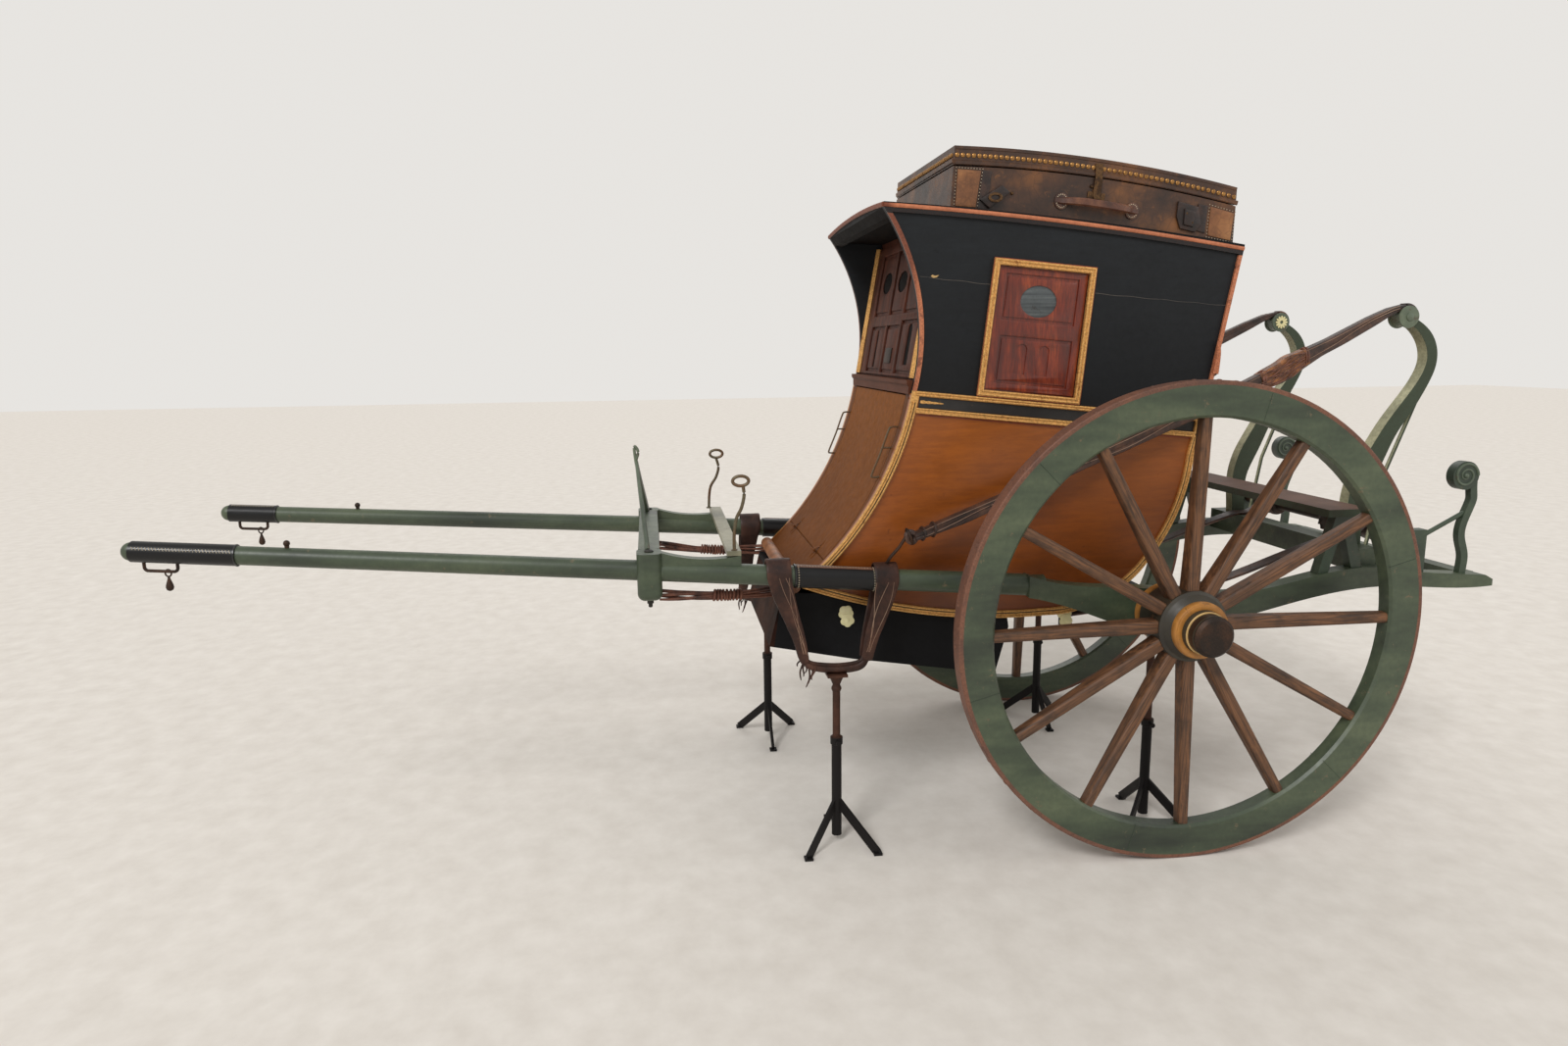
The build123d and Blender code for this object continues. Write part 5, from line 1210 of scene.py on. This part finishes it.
run = steps(-850, 946, 70)
leather, threads, worn, binding = Shape(), Shape(), Shape(), Shape()
leather.sweep([strap_place(y) for y in run], BUNDLE, sizes=[(1, strap_height(y)) for y in run])
wrap = [ROLLER + Vector((0, (34 + 7) * math.sin(t), (34 + 7) * math.cos(t)))
        for t in [0.13 * k - 0.1 for k in range(13)]]
leather.sweep(wrap, strap_section(38, 13, 4), up=lambda i: wrap[i] - ROLLER)
for x in (494, 511):
    loop = [Vector((x + 1.5 * math.sin(3 * t), -860 + 15 * math.sin(t), 1056 + 17 * math.cos(t)))
            for t in angles(20)]
    leather.strap(loop, 15, 9, 3, closed=True)
for y0 in (-822, -786):
    keeper = [strap_place(y0 + 3 * math.sin(t), 0.62 * math.cos(t), 24 * math.sin(t)) for t in
              angles(18)]
    leather.sweep(keeper, strap_section(5, 13, 2), up=lambda i: keeper[i] - strap_place(y0), closed=True)
for rise, sway, weave, out in ((0.4, 0.02, 90, 19.6), (-0.02, 0.22, 74, 20.8)):
    line = [strap_place(y, rise + sway * math.sin(y / weave + rise) * math.cos(y / 263), out)
            for y in run[1:-1]]
    threads.tube(line, 1.1, 5)
patch_run = steps(392, 564, 16)
worn.sweep([strap_place(y, 0.03) for y in patch_run], BUNDLE,
           sizes=[(1.1 + 0.05 * math.sin(y / 9), strap_height(y) * (1.02 + 0.05 * math.sin(y / 13)))
                  for y in patch_run])
for k in range(9):
    rise = -0.42 + 0.1 * k
    strand = [strap_place(y, rise + 0.07 * math.sin(y / 17 + 1.9 * k), 22.5 + 1.6 * math.sin(y / 11 + k))
              for y in patch_run[:-1]]
    binding.tube(strand, 2.1, 6)
for y0 in (394, 402, 556, 564):
    loop = [strap_place(y0 + 3 * math.sin(t), 0.56 * math.cos(t), 23.5 * math.sin(t)) for t in angles(18)]
    binding.tube(loop, 3.0, 6, closed=True, up=(0, 1, 0.4))
for shape, name, material, replaced in (
        (leather, "strap_leathers", STRAP_LEATHER, ("main_straps",)),
                                        (threads, "strap_threads", FADED_THREAD, ()),
        (worn, "strap_worn_leather", WORN_LEATHER, ()), (binding, "strap_bindings", LASH_LEATHER, ())):
    shape.mirror().build(name, material, slot="brown_leather", replaces=replaced)

# Irons between the shafts and the straps: a bent hook and a ring with the leather looped round it
hooks = Shape()
seat = shaft_at(-936)
hooks.tube(smooth_path([(seat.x, -936, seat.z + 20), (seat.x + 1, -938, seat.z + 44), (494, -926, 990),
                        (500, -900, 1022),
                        (504, -884, 1048), (505, -868, 1066), (504, -856, 1056), (503, -858, 1042)], 4),
           5.5, 10)
ring = [Vector((503 + 22 * math.sin(t), -866 - 9 * math.cos(t), 1058 + 24 * math.cos(t))) for t in
        angles(20)]
hooks.tube(ring, 5, 8, closed=True, up=(0, 1, 0.4))
hooks.mirror().build("strap_hooks", DARK_IRON, slot="dark_iron", replaces=("strap_irons",))

# Rollers with flanges, and a rosette on each inner face
rollers, petals = Shape(), Shape()
spool = [(0.01, -30), (30, -30), (38, -29), (39, -26), (38, -23), (34, -22), (33, 0), (34, 22), (38, 23),
         (39, 26), (38, 29),
         (30, 30), (14, 30.5), (13, 34), (8, 36), (0.01, 36.5)]
rollers.lathe(spool, ROLLER, (1, 0, 0), 40)
rollers.mirror().build("roller_spools", OLD_GREEN, slot="green_paint", replaces=("rollers",),
                       outward=True)
rosette = []
for t in angles(96):
    reach = 15 + 12 * abs(math.cos(6 * t)) ** 0.55
    rosette.append((ROLLER.y + reach * math.cos(t), ROLLER.z + reach * math.sin(t)))
petals.relief([rosette, ellipse(ROLLER.y, ROLLER.z, 7, 7, 16)], 3, lambda a, b, h: (329.6 - h, a, b), 1.2,
              step=6)
petals.mirror().build("roller_rosettes", CREAM, slot="ochre_paint")

# Spirals on the scrolled irons, the windlass straps and small irons at the rear
volutes = Shape()
for face in (500 + 17, 500 - 17):
    spiral = []
    for k in range(56):
        t = 2 * math.pi * k / 28
        reach = 46 - 19 * t / math.pi / 2 * 1.02
        spiral.append(Vector((face, 1128 + reach * math.cos(t), 1203 + reach * math.sin(t))))
    volutes.tube(spiral, [5 - 2.2 * k / 55 for k in range(56)], 8, up=BODY_OUT)
    volutes.dome((face, 1128, 1203), (1 if face > 500 else -1, 0, 0), 9, 7, 12)
volutes.mirror().build("scroll_spirals", OLD_GREEN, slot="green_paint")

straps = Shape()
plate = smooth_path([(wall_x(z * 0.1, z, PROUD + 4), y, z) for y,
                     z in ((236, 1676), (240, 1640), (237, 1600), (232, 1566))], 4)
straps.strap(plate, 17, 5, 2, sizes=[0.6 + 0.6 * i / (len(plate) - 1) for i in range(len(plate))])
straps.dome((wall_x(238, 1640, PROUD + 6.5), 239, 1636), BODY_OUT, 5, 4, 10)
straps.dome((wall_x(234, 1574, PROUD + 6.5), 234, 1574), BODY_OUT, 6, 4, 10)
straps.mirror().build("rear_corner_straps", COPPER, slot="copper_bead")

coils = Shape()
coils.lathe([(36, -30), (45, -29), (46, -20), (44, 0), (46, 20), (45, 29), (36, 30)], (300, 962, 986),
            (1, 0, 0), 32)
over = smooth_path([(300, -252, 712), (300, -200, 716), (300, 66, 745), (300, 382, 820), (300, 620, 901),
                    (300, 770, 949),
                    (300, 818, 953), (300, 862, 960), (300, 930, 1012), (300, 950, 1030)], 5)
coils.strap(over, 56, 9, 3, up=(0, -0.2, 1))
coils.mirror().build("rear_strap_leathers", STRAP_LEATHER, slot="brown_leather",
                     replaces=("rear_straps",))
red_side = Shape()
red_side.strap([p - Vector((0, 0, 5.2)) for p in over[:-4]], 48, 1.6, 0.6, up=(0, -0.2, 1))
red_side.mirror().build("rear_strap_linings", RED_LINE, slot="brown_leather")

brackets = Shape()
brackets.tube(smooth_path([(wall_x(233, 1592, -2), 222, 1594), (384, 232, 1591), (388, 250, 1574),
                           (384, 232, 1556),
                           (wall_x(230, 1554, -2), 222, 1553)], 5), 3.6, 8)
brackets.mirror().build("rear_brackets", DARK_IRON, slot="dark_iron")

# Corner grips of bent rod beside the door
grips = Shape()


def apron_y(z):
    u, v, radius = circle_through(TOE, APRON_MID, BELT_FRONT)
    return u + math.sqrt(radius ** 2 - (z - v) ** 2)


GRIP_X = {1: 394, -1: 402}
grip_line = [(z, out) for z,
             out in ((1243, -4), (1243, 22), (1254, 29), (1320, 30), (1396, 29), (1408, 22), (1408, -4))]
for side, x in GRIP_X.items():
    x *= side
    grips.tube(smooth_path([(x, apron_y(z) - out, z) for z, out in grip_line], 6), 3.3, 10)
    grips.tube([(x, apron_y(1340) - 29, 1340), (x, apron_y(1340) + 4, 1340)], 3, 8)
grips.build("corner_grips", RUSTY_ROD, slot="dark_iron")

# Door hinges as slim painted knuckles on the hinge line, with short leaves on the apron
HINGE = Vector((-1142.489, 974.378))
HINGE_KNUCKLES = (("door_hinge_leaves", "chassis", ((217, 230), (250, 263)), "door_hinges", -1),
                  ("door_leaves", "front_door", ((231.5, 248.5),), "door_irons", 1))
for name, body, spans, node, way in HINGE_KNUCKLES:
    leaves = Shape()
    for x0, x1 in spans:
        leaves.lathe([(0.01, x0), (3, x0 + 0.3), (3.4, x0 + 1.2), (3.4, x1 - 1.2), (3, x1 - 0.3),
                      (0.01, x1)], (0, *HINGE),
                     (1, 0, 0), 16)
        foot = [HINGE.y + way * d for d in (2, 9, 18, 30)]
        path = [((x0 + x1) / 2, apron_y(z) - 0.6, z) for z in foot]
        path[0] = ((x0 + x1) / 2, HINGE.x + 2, HINGE.y + way * 2)
        leaves.strap(path, x1 - x0 - 3, 2, 0.7, up=(0, -0.8, -0.5))
    leaves.mirror().build(name, APRON, body, "dark_iron", (node,))

# Ledge over the door: the wooden frame with its front drawn in to the apron
ledge = nodes["front_frame"].copy()
ledge.data = nodes["front_frame"].data.copy()
ledge.name = "front_ledge"
bpy.context.scene.collection.objects.link(ledge)
place = ledge.matrix_world.copy()
back_in = place.inverted()
for vertex in ledge.data.vertices:
    spot = place @ vertex.co
    if spot.z > 1.5 and spot.y < -0.855 + SHIFT:
        spot.y = -0.858 + SHIFT if spot.z < 1.546 else -0.864 + SHIFT
        vertex.co = back_in @ spot
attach(ledge, "chassis")
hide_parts("front_frame")

# Rein rods: bent bars with flat rings, and the spiked iron that leans between the shafts
ROD_X = 447.5
NEAR_ROD = [(-1436, 1026), (-1435, 1080), (-1427, 1128), (-1411, 1160), (-1401, 1200), (-1403, 1232)]
FAR_ROD = [(-1464, 1026), (-1461, 1080), (-1453, 1116), (-1432, 1150), (-1421, 1190), (-1429, 1226)]
spike = Shape()
for side in (1, -1):
    leg = [(side * x, y, z) for x, y,
           z in ((413, -1716, 1022), (300, -1724, 1090), (150, -1736, 1180), (0, -1747, 1270))]
    spike.strap(leg, 28, 14, 4, up=(0, -1, 0.1), sizes=[1.1, 0.95, 0.8, 0.7])
spike.tube(smooth_path([(0, -1747, 1256), (0, -1751, 1290), (0, -1753, 1326), (0, -1743, 1318),
                        (0, -1740, 1302),
                        (0, -1747, 1280)], 4), 5.5, 10)
spike.build("spiked_frame", OLD_GREEN, slot="green_paint", replaces=("a_frame",))
rods = Shape()
for side, line, (ring_y, ring_z) in ((1, NEAR_ROD, (-1411, 1250)), (-1, FAR_ROD, (-1429, 1246))):
    rods.tube(smooth_path([(side * ROD_X, y, z) for y, z in line], 5), 5.6, 10)
    rods.tube([(side * ROD_X, ring_y + 26 * math.cos(t), ring_z + 16 * math.sin(t)) for t in
               angles(24)], 5.4, 8, closed=True, up=BODY_OUT)
    rods.lathe([(0.01, 0), (11, 0), (11, 3), (7, 6), (0.01, 7)], (side * ROD_X, line[0][0], 1022),
               (0, 0, 1), 12)
rods.build("rein_rod_bars", RUSTY_ROD, slot="dark_iron", replaces=("rein_rods",))

# Front shutter: a frame with a mid rail, ovals above and slots below, between gilt jambs
# In (y, z) millimetres
SHUTTER_FOOT, SHUTTER_HEAD = Vector((-830, 1562)), Vector((-740, 2082))
shutter_up = (SHUTTER_HEAD - SHUTTER_FOOT).normalized()
shutter_out = Vector((-shutter_up.y, shutter_up.x))


def shutter_lay(out=0.0):
    """Lays (x, height) shapes on the front face of the leaning shutter."""
    def lay(x, t, h):
        place = SHUTTER_FOOT + shutter_up * t + shutter_out * (out + h)
        return x, place.x, place.y
    return lay


def rect(x0, x1, t0, t1):
    return [(x0, t0), (x0, t1), (x1, t1), (x1, t0)]


OVALS = ((-196, 350), (40, 342))
front = Shape()
ovals = [ellipse(x, t, 66, 40, 32) for x, t in OVALS]
PANES = [rect(-312, -92, 226, 458), rect(-68, 116, 226, 458), rect(-312, -92, 14, 186),
         rect(-68, 116, 14, 186),
         rect(140, 386, 14, 200), rect(140, 386, 226, 458)]
front.relief([rect(-425, 425, 3, 492), *PANES], 9, shutter_lay(0), 2.4, step=20)
for pane in PANES[:2]:
    x0, t0, x1, t1 = pane[0][0] + 14, pane[0][1] + 14, pane[2][0] - 14, pane[2][1] - 14
    front.relief([rect(x0, x1, t0, t1), ovals[PANES.index(pane)]], 5, shutter_lay(0), 2, step=12)
SLOTS = [[(x - half, foot), (x - half, head)]
         + [(x - half * math.cos(k * math.pi / 8), head + half * math.sin(k * math.pi / 8))
            for k in range(1, 8)]
         + [(x + half, head), (x + half, foot)] for x, half, foot,
         head in ((-208, 14, 32, 160), (262, 26, 46, 164))]
for pane, holes in ((PANES[2], [SLOTS[0]]), (PANES[3], []), (PANES[4], [SLOTS[1]]), (PANES[5], [])):
    x0, t0, x1, t1 = pane[0][0] + 12, pane[0][1] + 12, pane[2][0] - 12, pane[2][1] - 12
    front.relief([rect(x0, x1, t0, t1), *holes], 5, shutter_lay(0), 2, step=12)
front.build("front_shutter_panels", SHADED_WOOD, slot="mahogany")
dark, lock = Shape(), Shape()
# Dark plates in the ovals and slots: painted shade inside the openings.
for hole in ovals + SLOTS:
    dark.relief([hole], 1.2, shutter_lay(0), 0.3)
dark.build("front_shutter_hole_shade", LINING_AND_HOLE_SHADE, slot="panel_black")
lock.relief([rect(-26, 62, 50, 104)], 4, shutter_lay(5), 1)
lock.build("front_shutter_irons", DARK_IRON, slot="dark_iron")
jambs = Shape()
for x, out in ((433, 10), (421, 15), (408, 11)):
    jambs.tube([(x, *(SHUTTER_FOOT + shutter_up * t + shutter_out * out)) for t in (4, 170, 340, 496)],
               6.8, 8, up=BODY_OUT)
jambs.mirror().build("front_jambs", GILT, slot="gilt")

# Stand collars and flared heads
sockets = Shape()
for x, y, top in ((500, 0, 724), (-500, 0, 724), (SLING_X, SLING_FOOT[1], 600),
                  (-SLING_X, SLING_FOOT[-1], 600)):
    sockets.lathe([(17, 350), (21, 352), (21, 376), (17, 379), (13, 380)], (x, y, 0), (0, 0, 1), 24)
    sockets.lathe([(14, top - 62), (17, top - 56), (17, top - 50), (14, top - 44)], (x, y, 0), (0, 0, 1),
                  24)
    sockets.tube([(x + 15, y, 364), (x + 34, y, 364)], 4.5, 8)
    sockets.lathe([(0.01, 33), (9, 34), (9, 40), (0.01, 41)], (x, y, 364), (1, 0, 0), 6)
sockets.build("stand_collars", STAND_PAINT, slot="stand_black")

# Seat cushion: blown up inside its cover


TUFTS = [(x, y + SHIFT) for y in (-0.36, -0.18) for x in (-0.26, -0.09, 0.09, 0.26)]
TUFT_RADIUS, TUFT_DEPTH = 0.014, 0.012
CLOTH_FRAMES = 20


def cushion():
    """Cover in the shape of the cabin's floor plan, filled by air pressure and set down on the seat."""
    low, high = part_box("seat_cushion")
    ends = (low[1] + 0.004, high[1] - 0.012)
    mesh = bpy.data.meshes.new("cushion")
    work = bmesh.new()
    corners = []
    for y in ends:
        half = (wall_x((y - SHIFT) * 1000, 1120) - 22 - 8) / 1000
        corners += [(-half, y), (half, y)]
    base, top = low[2] + 0.001, low[2] + 0.058
    verts = [work.verts.new((x, y, z)) for z in (base, top) for x,
             y in (corners[0], corners[1], corners[3], corners[2])]
    for face in ((3, 2, 1, 0), (4, 5, 6, 7), (0, 1, 5, 4), (1, 2, 6, 5), (2, 3, 7, 6), (3, 0, 4, 7)):
        work.faces.new([verts[i] for i in face])
    work.to_mesh(mesh)
    work.free()
    obj = bpy.data.objects.new("seat_pad", mesh)
    bpy.context.scene.collection.objects.link(obj)
    bpy.context.view_layer.objects.active = obj
    obj.select_set(True)
    bevel = obj.modifiers.new("bevel", "BEVEL")
    bevel.width, bevel.segments = 0.012, 3
    remesh = obj.modifiers.new("remesh", "REMESH")
    remesh.mode, remesh.voxel_size = "VOXEL", 0.006
    for modifier in (bevel.name, remesh.name):
        bpy.ops.object.modifier_apply(modifier=modifier)
    group = obj.vertex_groups.new(name="seam")
    for v in obj.data.vertices:
        edge = min(abs(abs(v.co.x) - abs(corners[0][0])), abs(v.co.y - ends[0]),
                   abs(v.co.y - ends[1]))
        hold = 1.0 if v.co.z < base + 0.004 else 0.6 if edge < 0.006 else 0.0
        tuft = min(math.hypot(v.co.x - x, v.co.y - y) for x, y in TUFTS)
        if tuft < TUFT_RADIUS and v.co.z > top - 0.01:
            hold = 1.0
            v.co.z -= TUFT_DEPTH * (1 - tuft / TUFT_RADIUS)
        if hold:
            group.add([v.index], hold, "REPLACE")
    cloth = obj.modifiers.new("cloth", "CLOTH")
    settings = cloth.settings
    settings.quality, settings.mass = 6, 0.3
    settings.tension_stiffness = settings.compression_stiffness = settings.shear_stiffness = 12
    settings.bending_stiffness = 0.4
    settings.use_pressure, settings.uniform_pressure_force = True, 4
    settings.vertex_group_mass = "seam"
    settings.effector_weights.gravity = 0
    scene = bpy.context.scene
    scene.frame_start, scene.frame_end = 1, CLOTH_FRAMES
    for frame_number in range(1, CLOTH_FRAMES + 1):
        scene.frame_set(frame_number)
    depsgraph = bpy.context.evaluated_depsgraph_get()
    shaped = bpy.data.meshes.new_from_object(obj.evaluated_get(depsgraph))
    obj.modifiers.clear()
    obj.data = shaped
    scene.frame_set(1)
    obj.data.shade_smooth()
    obj.data.materials.clear()
    obj.data.materials.append(SEAT)
    subdivision = obj.modifiers.new("subdivision", "SUBSURF")
    subdivision.levels = subdivision.render_levels = 1
    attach(obj, "chassis")
    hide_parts("seat_cushion")


cushion()

# Floor, light and camera

floor_look = Look("floor")
grit = floor_look.noise(9, 6, 0.6)
floor_mat = floor_look.finish(floor_look.ramp(grit,
                                              [(0.3, rgb(214, 208, 200)), (0.7, rgb(226, 221, 214))]),
                              0.9)
bpy.ops.mesh.primitive_plane_add(size=60, location=(0, 0, 0))
floor = bpy.context.object
floor.name = "floor"
floor.data.materials.append(floor_mat)

studio = bpy.data.worlds.new("studio")
bpy.context.scene.world = studio
studio.use_nodes = True
tree = studio.node_tree
tree.nodes.clear()
out = tree.nodes.new("ShaderNodeOutputWorld")
shown, light = tree.nodes.new("ShaderNodeBackground"), tree.nodes.new("ShaderNodeBackground")
shown.inputs["Color"].default_value = (0.80, 0.78, 0.75, 1)
light.inputs["Color"].default_value = (1.0, 0.97, 0.93, 1)
light.inputs["Strength"].default_value = 0.62
path = tree.nodes.new("ShaderNodeLightPath")
join = tree.nodes.new("ShaderNodeMixShader")
tree.links.new(path.outputs["Is Camera Ray"], join.inputs["Fac"])
tree.links.new(light.outputs[0], join.inputs[1])
tree.links.new(shown.outputs[0], join.inputs[2])
tree.links.new(join.outputs[0], out.inputs["Surface"])


def sun(name, target_from, strength, angle):
    lamp = bpy.data.lights.new(name, "SUN")
    lamp.energy = strength
    lamp.angle = math.radians(angle)
    obj = bpy.data.objects.new(name, lamp)
    obj.rotation_euler = Vector(target_from).to_track_quat("Z", "Y").to_euler()
    bpy.context.scene.collection.objects.link(obj)


sun("key", (3.0, -2.2, 3.4), 1.5, 18)
sun("fill", (1.5, 3.0, 1.6), 0.35, 40)
sun("back", (-3.0, 0.5, 2.4), 0.4, 40)

CAMERA_PLACE = (3.602, -1.695 + SHIFT, 1.671)
yaw, pitch, roll = (math.radians(a) for a in (7.644, 10.036, -0.668))
forward = Vector((-math.cos(yaw), math.sin(yaw), 0))
side = Vector((math.sin(yaw), math.cos(yaw), 0))
up = Vector((0, 0, 1))
look_dir = forward * math.cos(pitch) - up * math.sin(pitch)
up_dir = up * math.cos(pitch) + forward * math.sin(pitch)
right = side * math.cos(roll) + up_dir * math.sin(roll)
upward = up_dir * math.cos(roll) - side * math.sin(roll)
camera = bpy.data.objects.new("camera", bpy.data.cameras.new("camera"))
camera.data.sensor_width = 36
camera.data.lens = 22.741
turned = Matrix((right, upward, -look_dir)).transposed().to_4x4()
camera.matrix_world = Matrix.Translation(CAMERA_PLACE) @ turned
bpy.context.scene.collection.objects.link(camera)
bpy.context.scene.camera = camera
bpy.context.scene.view_settings.view_transform = "Standard"

bpy.context.view_layer.update()
